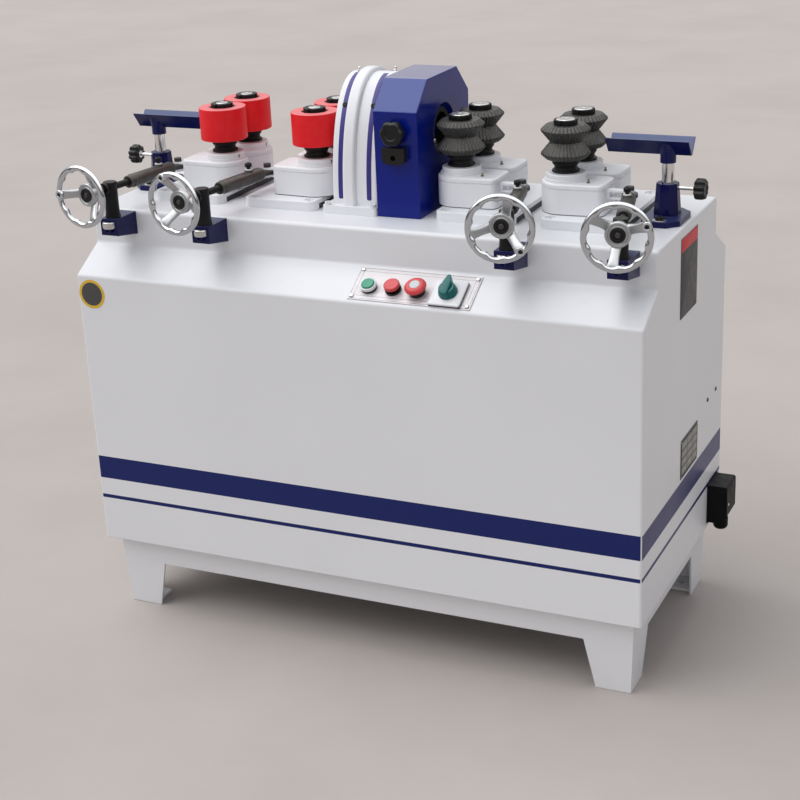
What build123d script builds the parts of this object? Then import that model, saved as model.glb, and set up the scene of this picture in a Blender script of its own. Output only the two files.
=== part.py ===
from build123d import *
import os
from math import acos, atan2, copysign, cos, degrees, hypot, pi, radians, sin, tan

# Round stick making machine, in millimetres. +X points to the infeed end, -Y to the operator,
# +Z up. The origin lies on the floor, at the middle of the four anchor holes in the feet.

# Clearances
running = 0.05
snug = 0.02
air = 0.3
past = 1

# Cabinet: a sheet steel box with a narrower top and a sloped deck on both long sides
cabinet_depth = 536
deck_depth = 77
panel_height = 552
deck_rise = 45
face_height = 69
sheet = 3
profile_radius = 8
end_radius = 5
bottom_flange = 40
table_plate_thickness = 16
table_plate_margin = 18

# Base frame: a folded skirt with four tapered legs
base_height = 154
base_sheet = 4
base_inset_x = 20
base_inset_y = 24
leg_taper = 7
leg_top_width = 96
leg_bottom_width = 67
skirt_height = 56
base_flange = 60
pad_size = 56
pad_inset = 1
pad_thickness = 6
anchor_hole = 14
anchor_edge = 30

# Rear access panel
rear_opening_width = 700
rear_opening_height = 380
rear_opening_rise = 90
rear_panel_lap = 25
rear_panel_sheet = 2
louvre_count = 6
louvre_width = 180
louvre_slot = 8
louvre_pitch = 26
panel_screw_radius = 5
panel_screw_height = 3

# Stock path, across the table
feed_y = 10

# Rollers
roller_radius = 45
roller_height = 60
nip_gap = 6
spindle_radius = 12.5
spindle_depth = 57
collar_radius = 22
collar_neck = 18.4
collar_flange_radius = 25
collar_flange = 5
nut_radius = 21
nut_height = 9
nut_slots = 4
nut_slot_width = 5
nut_slot_depth = 3
tyre_core_radius = 24
tyre_inset = 1
tyre_edge = 1.5
tooth_count = 36
tooth_depth = 3
rim_half_gap = 21
waist_radius = 28
crown_radius = 35

# Roller stations: a base plate with two swing boxes
roller_clearance = 8
station_pitch = 199
base_plate_thickness = 18
base_plate_inner = 25
base_plate_outer = 124
base_plate_front = 75
base_plate_corner = 14
base_plate_edge = 2
plate_bolt_radius = 8
plate_bolt_height = 8
plate_bolt_edge = 16
counterbore_gap = 1
pivot_offset = 45
pivot_radius = 15
pivot_height = 40
box_inset = 2
box_taper = 5
box_reach = 80
box_height = 55
box_corner = 12
box_edge = 4
lid_thickness = 9
lid_seam = 1
lid_seam_depth = 0.8
boss_radius = 35.5
boss_height = 14
boss_edge = 3
boss_step = 2.5
boss_step_height = 4
tooth_module = 3
tooth_addendum = 0.8
tooth_dedendum = 1.15
pressure_angle = 20
sector_thickness = 9
sector_rise = 4
sector_teeth = 7
tooth_backlash = 0.5

# Feed screws, handwheels and spring tubes
screw_rise = 35.7
screw_radius = 8
screw_length_in = 110
outfeed_screw_skew = 9
infeed_screw_skew = 13
post_stand_off = 49
post_radius = 13
post_above = 12
post_dome = 7
post_seat = 14
post_foot_radius = 17
post_foot_height = 14
bracket_width = 36
bracket_height = 44
bracket_front = 17
bracket_drop = 2
bracket_chamfer = 12
bracket_bolt_radius = 8
bracket_bolt_height = 6
bracket_bolt_drop = 20
collar_gap = 1
screw_collar_radius = 12
screw_collar_length = 6
wheel_radius = 60
wheel_turn = {"outfeed_end": 180, "outfeed_mid": 115, "infeed_mid": 312, "infeed_end": 22}
rim_radius = 6.5
rim_forward = 14
rim_boss_radius = 6
rim_boss_bore = 3.2
rim_boss_proud = 2.5
hub_radius = 17
hub_back = 34
hub_front = 64
hub_edge = 3
spoke_count = 3
spoke_width = 18
spoke_set_back = 6
spoke_root = 16
spoke_tip = 8
spoke_bite = 4
plug_radius = 10
plug_height = 2.5
tube_radius = 13
tube_edge = 1
tube_front = 63
tube_collar_radius = 10.5
tube_collar_length = 10
tube_bore_gap = 0.6
tube_bore_spare = 15
tube_bolt_gap = 13
tube_bolt_seat = 8
tube_bolt_radius = 6
tube_bolt_height = 10
tube_washer_radius = 7
tube_washer = 2
eye_radius = 14
eye_thickness = 8
eye_neck_half = 11
eye_neck_length = 6
eye_slip = 5.5
eye_play = 0.6
jaw_thickness = 4
jaw_half = 8
jaw_gap = 0.5
lug_web = 6
lug_pin_radius = 4
lug_pin_tail = 3
lug_head_height = 7
lug_drop = 10
outfeed_lug_reach = 104
infeed_lug_reach = 120

# Headstock, spindle and cutter
headstock_right = 7
arch_half = 111
arch_foot = 10
arch_rise = 232
arch_power = 2.2
arch_steps = 24
arch_edge = 6
rib_offset = 24
rib_width = 25
rib_rise = 8
headstock_flange = 15
flange_overhang = 15
flange_lap = 15
flange_bolt_radius = 6
flange_bolt_height = 6
flange_bolt_edge = 9
flange_bolt_side = 7
bearing_bore = 85
bearing_outer = 130
bearing_width = 22
bearing_groove = 2
bearing_groove_width = 10
bearing_recess = 1
bearing_lip = 6
spindle_bore = 64
spindle_overhang = 12
spindle_flange_radius = 55
spindle_flange = 5.5
spindle_flange_gap = 1.5
cutter_radius = 85
cutter_width = 46
cutter_bore = 66
cutter_edge = 4
knife_count = 4
knife_thickness = 6
knife_width = 38
knife_edge_radius = 24
knife_set_back = 6
bush_gap = 6
bush_length = 22
bush_bore = 62
bush_wall = 9
bush_neck_inset = 3
bush_neck_half = 28
bush_foot_front = 60
bush_foot_rear = 40
bush_foot_thickness = 10

# Main drive
pulley_radius = 62
pulley_width = 40
pulley_rim = 5
pulley_side_gap = 3
belt_count = 3
belt_width = 8
belt_thickness = 7
belt_pitch = 11.5
belt_gap = 0.5
belt_room = 12.5
motor_rise = 276
motor_gap = 35
motor_radius = 105
motor_length = 285
motor_shaft_radius = 19
motor_shaft_in = 40
fin_count = 24
fin_height = 6
fin_thickness = 3
fin_margin = 25
motor_foot_half = 80
motor_foot_margin = 40
motor_foot_height = 12
motor_foot_top = 14
cowl_length = 45
cowl_edge = 12
terminal_at = 110
terminal_size = 90
terminal_height = 44
shelf_thickness = 10
shelf_margin = 30
shelf_lip = 60
shelf_lip_thickness = 8

# Feed drive
feed_shaft_drop = 100
feed_shaft_radius = 12.5
feed_shaft_end = 8
worm_radius = 22
worm_length = 60
hanger_gap = 8
hanger_width = 24
hanger_depth = 60
gearmotor_x = 90
gearmotor_radius = 55
gearmotor_length = 100
gearmotor_pad_half = 45
gearmotor_pad_margin = 10

# Cutter hood
hood_gap = 2
hood_end_gap = 4
hood_half = 120.5
hood_top_half = 67.5
hood_shoulder_above = 52
hood_top_above = 103
hood_sheet = 2
hood_bend = 6
hood_edge = 2
hood_entry_gap = 8
hinge_rise = 70
hinge_radius = 5
hinge_pin_bite = 4
hinge_lug_inset = 2
knuckle_radius = 8
knuckle_margin = 11
knob_above = 16
knob_radius = 24
knob_thickness = 20
knob_neck = 4
knob_neck_radius = 12
knob_lobes = 6
lobe_depth = 0.18
lobe_radius = 0.28
stud_radius = 5
stud_in = 6
latch_gap = 2
latch_half = 22
latch_height = 30
latch_depth = 16
latch_corner = 11
latch_hole_radius = 5
latch_hole_drop = 18
latch_hole_floor = 4

# Work rests
rest_gap = 20
rest_base_x = 70
rest_base_y = 110
rest_base_shift = 9
rest_base_chamfer = 20
rest_base_thickness = 10
infeed_rest_inset = 8
rest_bolt_radius = 7
rest_bolt_height = 7
rest_bolt_edge = 14
column_sides = 8
column_top = 37
column_bottom = 45
column_height = 56
rest_post_radius = 11
rest_post_in = 46
rest_post_floor = 2
socket_radius = 14
socket_height = 14
socket_flare = 5
socket_flare_low = 6
socket_flare_high = 20
trough_drop = 25
trough_length = 150
trough_offset = 33
trough_floor = 3
trough_spread = 21
trough_height = 28
trough_sheet = 4
clamp_drop = 8.5
clamp_stud_radius = 4
clamp_stud_show = 26.5
clamp_knob_radius = 19
clamp_knob_thickness = 20

# Controls on the front deck, placed from the left edge of their plate
plate_left = 14
plate_inset = 5.6
plate_margin = 19
plate_thickness = 2
plate_edge = 0.6
plate_screw_radius = 4
plate_screw_height = 3
plate_screw_dome = 2
plate_screw_edge = 7
control_hole = 22.3
control_gap = 0.15
control_drop = 9.5
button_offsets = {"start": 33.5, "stop": 80.5, "emergency": 126.5}
selector_offset = 187
bezel_radius = 14.8
bezel_height = 9
button_radius = 11.5
button_proud = 4
button_edge = 1.2
button_travel = 3.5
button_stop_gap = 1
stem_radius = 5
stem_length = 12
stop_bezel_height = 4
stop_cap_radius = 14.5
stop_cap_height = 8
stop_cap_edge = 2
mushroom_radius = 20
mushroom_height = 11
mushroom_dome = 5
mushroom_bezel_height = 6
button_neck_radius = 10
selector_plate = 58
selector_plate_height = 7
selector_plate_edge = 1.5
selector_body_size = 45
selector_knob_radius = 17
selector_knob_height = 9
selector_grip_height = 19
selector_grip_width = 9
selector_tip = 7
selector_tip_length = 12
switch_neck = 6
switch_body_length = 48
switch_body_size = 30

# Power inlet on the infeed end wall
inlet_edge = 62
inlet_rise = 50.5
inlet_width = 68
inlet_height = 79
inlet_depth = 40
inlet_slope = 16
inlet_corner = 5
inlet_flange = 3
inlet_flange_lap = 1.5
gland_radius = 14.5
gland_length = 24
gland_round = 8.7

# Levels that follow from the sizes above
panel_top = base_height + panel_height
deck_top = panel_top + deck_rise
table_top = deck_top + face_height
table_skin_bottom = table_top - sheet
table_plate_bottom = table_skin_bottom - table_plate_thickness
plate_top = table_top + base_plate_thickness
box_bottom = plate_top + air
boss_top = box_bottom + box_height + boss_height
collar_bottom = boss_top + air
roller_bottom = collar_bottom + collar_flange + collar_neck
feed_z = roller_bottom + roller_height / 2
roller_top = feed_z + roller_height / 2
screw_z = box_bottom + screw_rise
motor_z = base_height + motor_rise
feed_shaft_z = table_top - feed_shaft_drop
hinge_z = table_top + hinge_rise

# Places along the stock path
bearing_wall = bearing_width + 2 * bearing_recess
headstock_left = headstock_right - 2 * bearing_wall - pulley_width - 2 * pulley_side_gap
pulley_x = (headstock_left + headstock_right) / 2
pulley_left = pulley_x - pulley_width / 2
pulley_right = pulley_x + pulley_width / 2
cavity_radius = pulley_radius + belt_gap + belt_thickness + belt_room
spindle_nose = headstock_right + spindle_flange_gap + spindle_flange
bush_left = spindle_nose + cutter_width + bush_gap
bush_right = bush_left + bush_length
bush_radius = bush_bore / 2 + bush_wall
hood_left = headstock_right + hood_gap
hood_right = bush_right + hood_end_gap + hood_sheet
motor_left = pulley_right + motor_gap
station_inner = hood_right + roller_clearance + roller_radius
station_outer = station_inner + station_pitch
half_width = station_outer + base_plate_outer + rest_gap + rest_base_x
rest_x = half_width - rest_base_x / 2
rests = {"outfeed": (-1, -rest_x), "infeed": (1, rest_x - infeed_rest_inset)}
stations = {
    "outfeed_end": (-1, -station_outer),
    "outfeed_mid": (-1, -station_inner),
    "infeed_mid": (1, station_inner),
    "infeed_end": (1, station_outer),
}

# Places across the machine
half_depth = cabinet_depth / 2
half_table = half_depth - deck_depth
roller_spacing = 2 * roller_radius + nip_gap
box_end_radius = roller_radius - box_inset
box_end_half = box_end_radius - box_taper
plate_reach = roller_spacing / 2 + base_plate_front
flange_half = arch_half + flange_lap
post_y = -(half_table + post_stand_off)
hinge_y = feed_y + hood_half + knuckle_radius
tube_bore_end = screw_length_in + tube_bore_spare
tube_bolt_at = tube_bore_end + tube_bolt_gap

# The front deck and what stands on it
deck_plane = Plane(
    origin=(0, -(half_depth + half_table) / 2, (panel_top + deck_top) / 2),
    x_dir=(1, 0, 0),
    z_dir=(0, -deck_rise, deck_depth),
)
button_places = {name: plate_left + offset for name, offset in button_offsets.items()}
selector_place = plate_left + selector_offset
plate_width = selector_offset + selector_plate / 2 + plate_margin
plate_depth = hypot(deck_depth, deck_rise) - 2 * plate_inset


def block(x, y, z):
    # Box between pairs of limits
    middle = Pos((x[0] + x[1]) / 2, (y[0] + y[1]) / 2, (z[0] + z[1]) / 2)
    return middle * Box(abs(x[1] - x[0]), abs(y[1] - y[0]), abs(z[1] - z[0]))


def rod(radius, bottom, top, x=0, y=0):
    # Upright cylinder
    return Pos(x, y, (bottom + top) / 2) * Cylinder(radius, top - bottom)


def barrel(radius, start, end, y, z):
    # Cylinder lying along X
    return Pos((start + end) / 2, y, z) * Rot(0, 90, 0) * Cylinder(radius, abs(end - start))


def prism(points, plane, depth):
    # Closed outline drawn on a plane and pushed along its normal
    return extrude(plane * make_face(Polyline(*points, close=True)), depth)


def save(name, *pieces):
    solids = [solid for piece in pieces for solid in piece.solids()]
    export_step(Compound(children=solids), f"parts/{name}.step")


def lobed_knob(radius, thickness):
    # Round grip with scallops between its lobes, standing on Z = 0
    grip = rod(radius, 0, thickness)
    scallop = radius * lobe_radius
    for place in PolarLocations(radius + scallop - radius * lobe_depth, knob_lobes):
        grip -= place * Cylinder(scallop, 3 * thickness)
    return grip


def socket_head(radius, height):
    # Cap screw head standing on Z = 0
    head = rod(radius, 0, height)
    return head - Pos(0, 0, height / 2) * extrude(RegularPolygon(radius * 0.55, 6), height)


def belt_slot():
    # Way for the belts through the table
    return block(
        (headstock_left + bearing_wall, headstock_right - bearing_wall),
        (feed_y - cavity_radius, feed_y + cavity_radius),
        (table_plate_bottom - past, table_top + past),
    )


def make_cabinet():
    outline = make_face(
        Polyline(
            (-half_depth, base_height),
            (-half_depth, panel_top),
            (-half_table, deck_top),
            (-half_table, table_top),
            (half_table, table_top),
            (half_table, deck_top),
            (half_depth, panel_top),
            (half_depth, base_height),
            close=True,
        )
    )
    corners = outline.vertices().filter_by(lambda v: v.Y > base_height + past)
    shell = extrude(Plane.YZ * fillet(corners, profile_radius), half_width, both=True)
    ends = shell.faces().filter_by(Axis.X)
    shell = fillet(ends.edges().filter_by(lambda e: e.center().Z > base_height + past), end_radius)
    inner = offset(outline, -sheet, kind=Kind.INTERSECTION)
    shell -= extrude(Plane.YZ * inner, half_width - sheet, both=True)
    floor_x = half_width - bottom_flange
    floor_y = half_depth - bottom_flange
    shell -= block((-floor_x, floor_x), (-floor_y, floor_y), (base_height - past, base_height + 2 * sheet))
    shell -= belt_slot()
    rear = rear_opening_width / 2
    rear_bottom = base_height + rear_opening_rise
    shell -= block(
        (-rear, rear),
        (half_depth - sheet - past, half_depth + past),
        (rear_bottom, rear_bottom + rear_opening_height),
    )
    for x in (*button_places.values(), selector_place):
        shell -= deck_plane * Pos(x, -control_drop, 0) * Cylinder(control_hole / 2, 8 * sheet)
    save("cabinet_shell", shell)


def make_base():
    top_x = half_width - base_inset_x
    top_y = half_depth - base_inset_y
    low_x = top_x - leg_taper
    low_y = top_y - leg_taper
    high = Pos(0, 0, base_height) * Rectangle(2 * top_x, 2 * top_y)
    outer = loft([Rectangle(2 * low_x, 2 * low_y), high])
    wall = 2 * base_sheet
    roof = Pos(0, 0, base_height - base_sheet) * Rectangle(2 * top_x - wall, 2 * top_y - wall)
    frame = outer - loft([Rectangle(2 * low_x - wall, 2 * low_y - wall), roof])
    window_x = top_x - base_flange
    window_y = top_y - base_flange
    roof_cut = (base_height - 2 * base_sheet, base_height + past)
    frame -= block((-window_x, window_x), (-window_y, window_y), roof_cut)
    gap_top = base_height - skirt_height
    for plane, low, high_half, reach in (
        (Plane.XZ, low_x, top_x, top_y),
        (Plane.YZ, low_y, top_y, top_x),
    ):
        leg_low = low - leg_bottom_width
        leg_high = high_half - leg_top_width
        gap = [(-leg_low, -past), (leg_low, -past), (leg_high, gap_top), (-leg_high, gap_top)]
        window = make_face(Polyline(*gap, close=True))
        frame -= extrude(plane * window, 2 * reach, both=True)
    for sx in (-1, 1):
        for sy in (-1, 1):
            inset = pad_inset + pad_size / 2
            pad = Pos(sx * (low_x - inset), sy * (low_y - inset), pad_thickness / 2)
            frame += pad * Box(pad_size, pad_size, pad_thickness)
            hole = Pos(sx * (low_x - anchor_edge), sy * (low_y - anchor_edge), pad_thickness / 2)
            frame -= hole * Cylinder(anchor_hole / 2, 4 * pad_thickness)
    save("base_frame", frame)


def make_table_plate():
    x = half_width - table_plate_margin
    y = half_table - sheet
    plate = block((-x, x), (-y, y), (table_plate_bottom, table_skin_bottom)) - belt_slot()
    save("table_plate", plate)


def make_rear_panel():
    half = rear_opening_width / 2 + rear_panel_lap
    bottom = base_height + rear_opening_rise - rear_panel_lap
    top = bottom + rear_opening_height + 2 * rear_panel_lap
    panel = block((-half, half), (half_depth, half_depth + rear_panel_sheet), (bottom, top))
    middle = (bottom + top) / 2
    for column in (-1, 1):
        for row in range(louvre_count):
            z = middle + (row - (louvre_count - 1) / 2) * louvre_pitch
            slot = Box(louvre_width, 6 * rear_panel_sheet, louvre_slot)
            panel -= Pos(column * half / 2, half_depth, z) * slot
    save("rear_panel", panel)


def arch(left, right, swell):
    # Short upright sides under a superellipse, (y / half)^n + (z / rise)^n = 1, with rounded ends
    half = arch_half + swell
    rise = arch_rise + swell
    crown = []
    for step in range(arch_steps + 1):
        across = cos(pi * step / arch_steps)
        up = sin(pi * step / arch_steps)
        y = copysign(abs(across) ** (2 / arch_power), across)
        crown.append((half * y, rise * abs(up) ** (2 / arch_power)))
    outline = [
        Spline(*crown, tangents=((0, 1), (0, -1))),
        Line((-half, 0), (-half, -arch_foot)),
        Line((-half, -arch_foot), (half, -arch_foot)),
        Line((half, -arch_foot), (half, 0)),
    ]
    face = Plane.YZ * make_face(outline)
    body = Pos(left, feed_y, table_top + arch_foot) * extrude(face, right - left)
    ends = body.faces().filter_by(Axis.X).edges()
    return fillet(ends.filter_by(lambda e: e.center().Z > table_top + past), arch_edge)


def make_headstock():
    rib_left = headstock_left + rib_offset
    casting = arch(headstock_left, headstock_right, 0)
    casting += arch(rib_left, rib_left + rib_width, rib_rise)
    flange = block(
        (headstock_left - flange_overhang, headstock_right),
        (feed_y - flange_half, feed_y + flange_half),
        (table_top, table_top + headstock_flange),
    )
    casting += fillet(flange.edges().filter_by(Axis.Z), arch_edge)
    # Hinge pin of the hood, on a lug behind the casting
    casting += block(
        (headstock_right - bearing_wall, headstock_right - hinge_lug_inset),
        (feed_y + cavity_radius, hinge_y + knuckle_radius),
        (hinge_z - knuckle_radius, hinge_z + knuckle_radius),
    )
    pin_left = headstock_right - hinge_lug_inset - hinge_pin_bite
    pin_right = hood_right - knuckle_margin + hinge_pin_bite
    casting += barrel(hinge_radius, pin_left, pin_right, hinge_y, hinge_z)
    seat = bearing_outer / 2 + snug
    for edge, inward in ((headstock_left, 1), (headstock_right, -1)):
        casting -= barrel(seat, edge - inward * past, edge + inward * bearing_wall, feed_y, feed_z)
    lip = bearing_bore / 2 + bearing_lip
    casting -= barrel(lip, headstock_left - past, headstock_right + past, feed_y, feed_z)
    cavity = (headstock_left + bearing_wall, headstock_right - bearing_wall)
    casting -= barrel(cavity_radius, *cavity, feed_y, feed_z)
    casting -= block(cavity, (feed_y - cavity_radius, feed_y + cavity_radius), (table_top - past, feed_z))
    save("headstock", casting)


def make_bearings():
    rings = []
    mean = (bearing_outer + bearing_bore) / 4
    inset = bearing_recess + bearing_width / 2
    for centre in (headstock_left + inset, headstock_right - inset):
        left, right = centre - bearing_width / 2, centre + bearing_width / 2
        ring = barrel(bearing_outer / 2, left, right, feed_y, feed_z)
        ring -= barrel(bearing_bore / 2, left - past, right + past, feed_y, feed_z)
        for face in (left, right):
            limits = (face - bearing_groove, face + bearing_groove)
            groove = barrel(mean + bearing_groove_width / 2, *limits, feed_y, feed_z)
            ring -= groove - barrel(mean - bearing_groove_width / 2, *limits, feed_y, feed_z)
        rings.append(ring)
    save("spindle_bearings", *rings)


def make_spindle():
    tail = headstock_left - spindle_overhang
    body = barrel(bearing_bore / 2 - running, tail, spindle_nose, feed_y, feed_z)
    body += barrel(spindle_flange_radius, spindle_nose - spindle_flange, spindle_nose, feed_y, feed_z)
    body -= barrel(spindle_bore / 2, tail - past, spindle_nose + past, feed_y, feed_z)
    save("spindle", body)


def make_cutter():
    face = spindle_nose + cutter_width
    head = barrel(cutter_radius, spindle_nose, face, feed_y, feed_z)
    head = fillet(head.edges().sort_by(Axis.X)[-1], cutter_edge)
    head -= barrel(cutter_bore / 2, spindle_nose - past, face + past, feed_y, feed_z)
    knives = []
    knife_length = cutter_radius - knife_edge_radius - knife_set_back
    middle = cutter_width - knife_width / 2
    for turn in range(knife_count):
        place = Pos(spindle_nose, feed_y, feed_z) * Rot(360 * turn / knife_count, 0, 0)
        knife = Box(knife_width, knife_thickness, knife_length)
        slot = Box(knife_width + 2 * snug, knife_thickness + 2 * snug, 2 * cutter_radius)
        head -= place * Pos(middle, 0, knife_edge_radius + cutter_radius) * slot
        knives.append(place * Pos(middle, 0, knife_edge_radius + knife_length / 2) * knife)
    save("cutter_head", head)
    save("cutter_knives", *knives)


def make_bush():
    bush = barrel(bush_radius, bush_left, bush_right, feed_y, feed_z)
    bush += block(
        (bush_left + bush_neck_inset, bush_right - bush_neck_inset),
        (feed_y - bush_neck_half, feed_y + bush_neck_half),
        (table_top, feed_z),
    )
    bush += block(
        (bush_left, bush_right),
        (feed_y - bush_foot_front, feed_y + bush_foot_rear),
        (table_top, table_top + bush_foot_thickness),
    )
    bush -= barrel(bush_bore / 2, bush_left - past, bush_right + past, feed_y, feed_z)
    save("infeed_bush", bush)


def belt_places():
    return [pulley_x + (i - (belt_count - 1) / 2) * belt_pitch for i in range(belt_count)]


def grooved_pulley(bore, axis_z):
    wheel = barrel(pulley_radius + pulley_rim, pulley_left, pulley_right, feed_y, axis_z)
    for x in belt_places():
        half = belt_width / 2 + belt_gap
        ring = barrel(pulley_radius + 2 * pulley_rim, x - half, x + half, feed_y, axis_z)
        wheel -= ring - barrel(pulley_radius, x - half, x + half, feed_y, axis_z)
    return wheel - barrel(bore, pulley_left - past, pulley_right + past, feed_y, axis_z)


def make_belt_drive():
    save("spindle_pulley", grooved_pulley(bearing_bore / 2 - running + snug, feed_z))
    shaft = barrel(motor_shaft_radius, pulley_left, motor_left + motor_shaft_in, feed_y, motor_z)
    save("motor_pulley", grooved_pulley(motor_shaft_radius + snug, motor_z), shaft)
    belts = []
    span = feed_z - motor_z
    inner = pulley_radius + belt_gap
    for x in belt_places():
        plane = Plane(origin=(x, feed_y, (feed_z + motor_z) / 2), x_dir=(0, 0, 1), z_dir=(1, 0, 0))
        loop = SlotCenterToCenter(span, 2 * (inner + belt_thickness)) - SlotCenterToCenter(span, 2 * inner)
        belts.append(extrude(plane * loop, belt_width / 2, both=True))
    save("drive_belts", *belts)


def make_motor():
    # Finned body, fan cowl and terminal box on a foot plate
    end = motor_left + motor_length
    body = barrel(motor_radius - fin_height, motor_left, end, feed_y, motor_z)
    fin = Box(motor_length - 2 * fin_margin, fin_thickness, 2 * fin_height)
    for turn in range(fin_count):
        place = Pos(motor_left + motor_length / 2, feed_y, motor_z)
        place *= Rot((turn + 0.5) * 360 / fin_count, 0, 0)
        body += place * Pos(0, 0, motor_radius - fin_height) * fin
    foot_bottom = motor_z - motor_radius - motor_foot_height
    body += block(
        (motor_left + motor_foot_margin, end - motor_foot_margin),
        (feed_y - motor_foot_half, feed_y + motor_foot_half),
        (foot_bottom, motor_z - motor_radius + motor_foot_top),
    )
    bore_end = motor_left + motor_shaft_in + past
    body -= barrel(motor_shaft_radius + running, motor_left - past, bore_end, feed_y, motor_z)
    cowl = barrel(motor_radius, end, end + cowl_length, feed_y, motor_z)
    cowl = fillet(cowl.edges().sort_by(Axis.X)[-1], cowl_edge)
    terminal = Pos(motor_left + terminal_at, feed_y, motor_z + motor_radius + terminal_height / 2)
    terminal = terminal * Box(terminal_size, terminal_size, terminal_height) - body
    save("main_motor", body, cowl, terminal)
    wall = half_depth - sheet
    shelf_x = (motor_left - shelf_margin, end + shelf_margin)
    shelf = block(shelf_x, (-wall, wall), (foot_bottom - shelf_thickness, foot_bottom))
    for side in (-1, 1):
        lip_y = (side * (wall - shelf_lip_thickness), side * wall)
        shelf += block(shelf_x, lip_y, (foot_bottom - shelf_lip, foot_bottom))
    save("motor_shelf", shelf)


def worm_place(side, x):
    return x + side * pivot_offset


def make_feed_drive():
    reach = worm_length / 2 + hanger_gap + hanger_width + feed_shaft_end
    shaft_end = worm_place(1, station_outer) + reach
    shaft = barrel(feed_shaft_radius, -shaft_end, shaft_end, feed_y, feed_shaft_z)
    hangers = []
    for side, x in stations.values():
        place = worm_place(side, x)
        shaft += barrel(worm_radius, place - worm_length / 2, place + worm_length / 2, feed_y, feed_shaft_z)
        near = place + side * (worm_length / 2 + hanger_gap)
        far = near + side * hanger_width
        hanger = block(
            (near, far),
            (feed_y - hanger_depth / 2, feed_y + hanger_depth / 2),
            (feed_shaft_z - hanger_depth / 2, table_plate_bottom),
        )
        limits = (near - side * past, far + side * past)
        hangers.append(hanger - barrel(feed_shaft_radius + running, *limits, feed_y, feed_shaft_z))
    save("feed_shaft", shaft)
    save("shaft_hangers", *hangers)
    left, right = gearmotor_x - gearmotor_length / 2, gearmotor_x + gearmotor_length / 2
    motor = barrel(gearmotor_radius, left, right, feed_y, feed_shaft_z)
    motor += block(
        (left + gearmotor_pad_margin, right - gearmotor_pad_margin),
        (feed_y - gearmotor_pad_half, feed_y + gearmotor_pad_half),
        (feed_shaft_z, table_plate_bottom),
    )
    motor -= barrel(feed_shaft_radius + running, left - past, right + past, feed_y, feed_shaft_z)
    save("feed_gearmotor", motor)


def roller_y(row):
    # Row -1 is the operator's side, +1 the far side
    return feed_y + row * roller_spacing / 2


def plate_bolts(side, x):
    # Bolt places near the corners of a base plate
    inner = x - side * (base_plate_inner - plate_bolt_edge)
    outer = x + side * (base_plate_outer - plate_bolt_edge)
    reach = plate_reach - plate_bolt_edge
    return [(place, feed_y + row * reach) for place in (inner, outer) for row in (-1, 1)]


def plate_bolt_seat():
    return plate_top - plate_bolt_height - counterbore_gap


def make_base_plates():
    plates = []
    for side, x in stations.values():
        limits = (x - side * base_plate_inner, x + side * base_plate_outer)
        plate = block(limits, (feed_y - plate_reach, feed_y + plate_reach), (table_top, plate_top))
        plate = fillet(plate.edges().filter_by(Axis.Z), base_plate_corner)
        plate = fillet(plate.edges().group_by(Axis.Z)[-1], base_plate_edge)
        for bolt_x, bolt_y in plate_bolts(side, x):
            bore = plate_bolt_radius + counterbore_gap
            plate -= rod(bore, plate_bolt_seat(), plate_top + past, bolt_x, bolt_y)
        for row in (-1, 1):
            pin_x = x + side * pivot_offset
            plate += rod(pivot_radius, plate_top - past, plate_top + pivot_height, pin_x, roller_y(row))
        plates.append(plate)
    save("roller_base_plates", *plates)


def sector(row):
    # Toothed sector about the pivot, facing the other box of the pair
    pitch_radius = roller_spacing / 2
    root = pitch_radius - tooth_dedendum * tooth_module
    tip = pitch_radius + tooth_addendum * tooth_module
    flank = tooth_module * pi / 4 - tooth_backlash / 2
    lean = tan(radians(pressure_angle))
    half_root = flank + (pitch_radius - root) * lean
    half_tip = flank - (tip - pitch_radius) * lean
    pitch_angle = degrees(pi * tooth_module / pitch_radius)
    first = -(sector_teeth - 1) / 2 + (0.5 if row > 0 else 0)
    spread = radians((sector_teeth + 1) / 2 * pitch_angle)
    far = 2 * root
    wedge = Polyline(
        (0, 0),
        (far * sin(spread), far * cos(spread)),
        (0, 2 * far),
        (-far * sin(spread), far * cos(spread)),
        close=True,
    )
    plate = make_face(wedge) & Circle(root)
    foot = root - tooth_module / 2
    corners = [(-half_root, foot), (half_root, foot), (half_tip, tip), (-half_tip, tip)]
    tooth = make_face(Polyline(*corners, close=True))
    for index in range(sector_teeth):
        plate += Rot(0, 0, (first + index) * pitch_angle) * tooth
    return extrude(Rot(0, 0, 0 if row < 0 else 180) * plate, sector_thickness)


def box_plan(side):
    # Round end about the roller, with a tail that narrows to rounded corners
    tangent = atan2(box_end_half, box_reach) + acos(box_end_radius / hypot(box_reach, box_end_half))
    touch = (box_end_radius * cos(tangent), box_end_radius * sin(tangent))
    tail = Polyline(
        (side * touch[0], touch[1]),
        (side * box_reach, box_end_half),
        (side * box_reach, -box_end_half),
        (side * touch[0], -touch[1]),
        close=True,
    )
    tail_face = make_face(tail)
    corners = tail_face.vertices().filter_by(lambda v: abs(v.X) > box_reach - past)
    return Circle(box_end_radius) + fillet(corners, box_corner)


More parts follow.
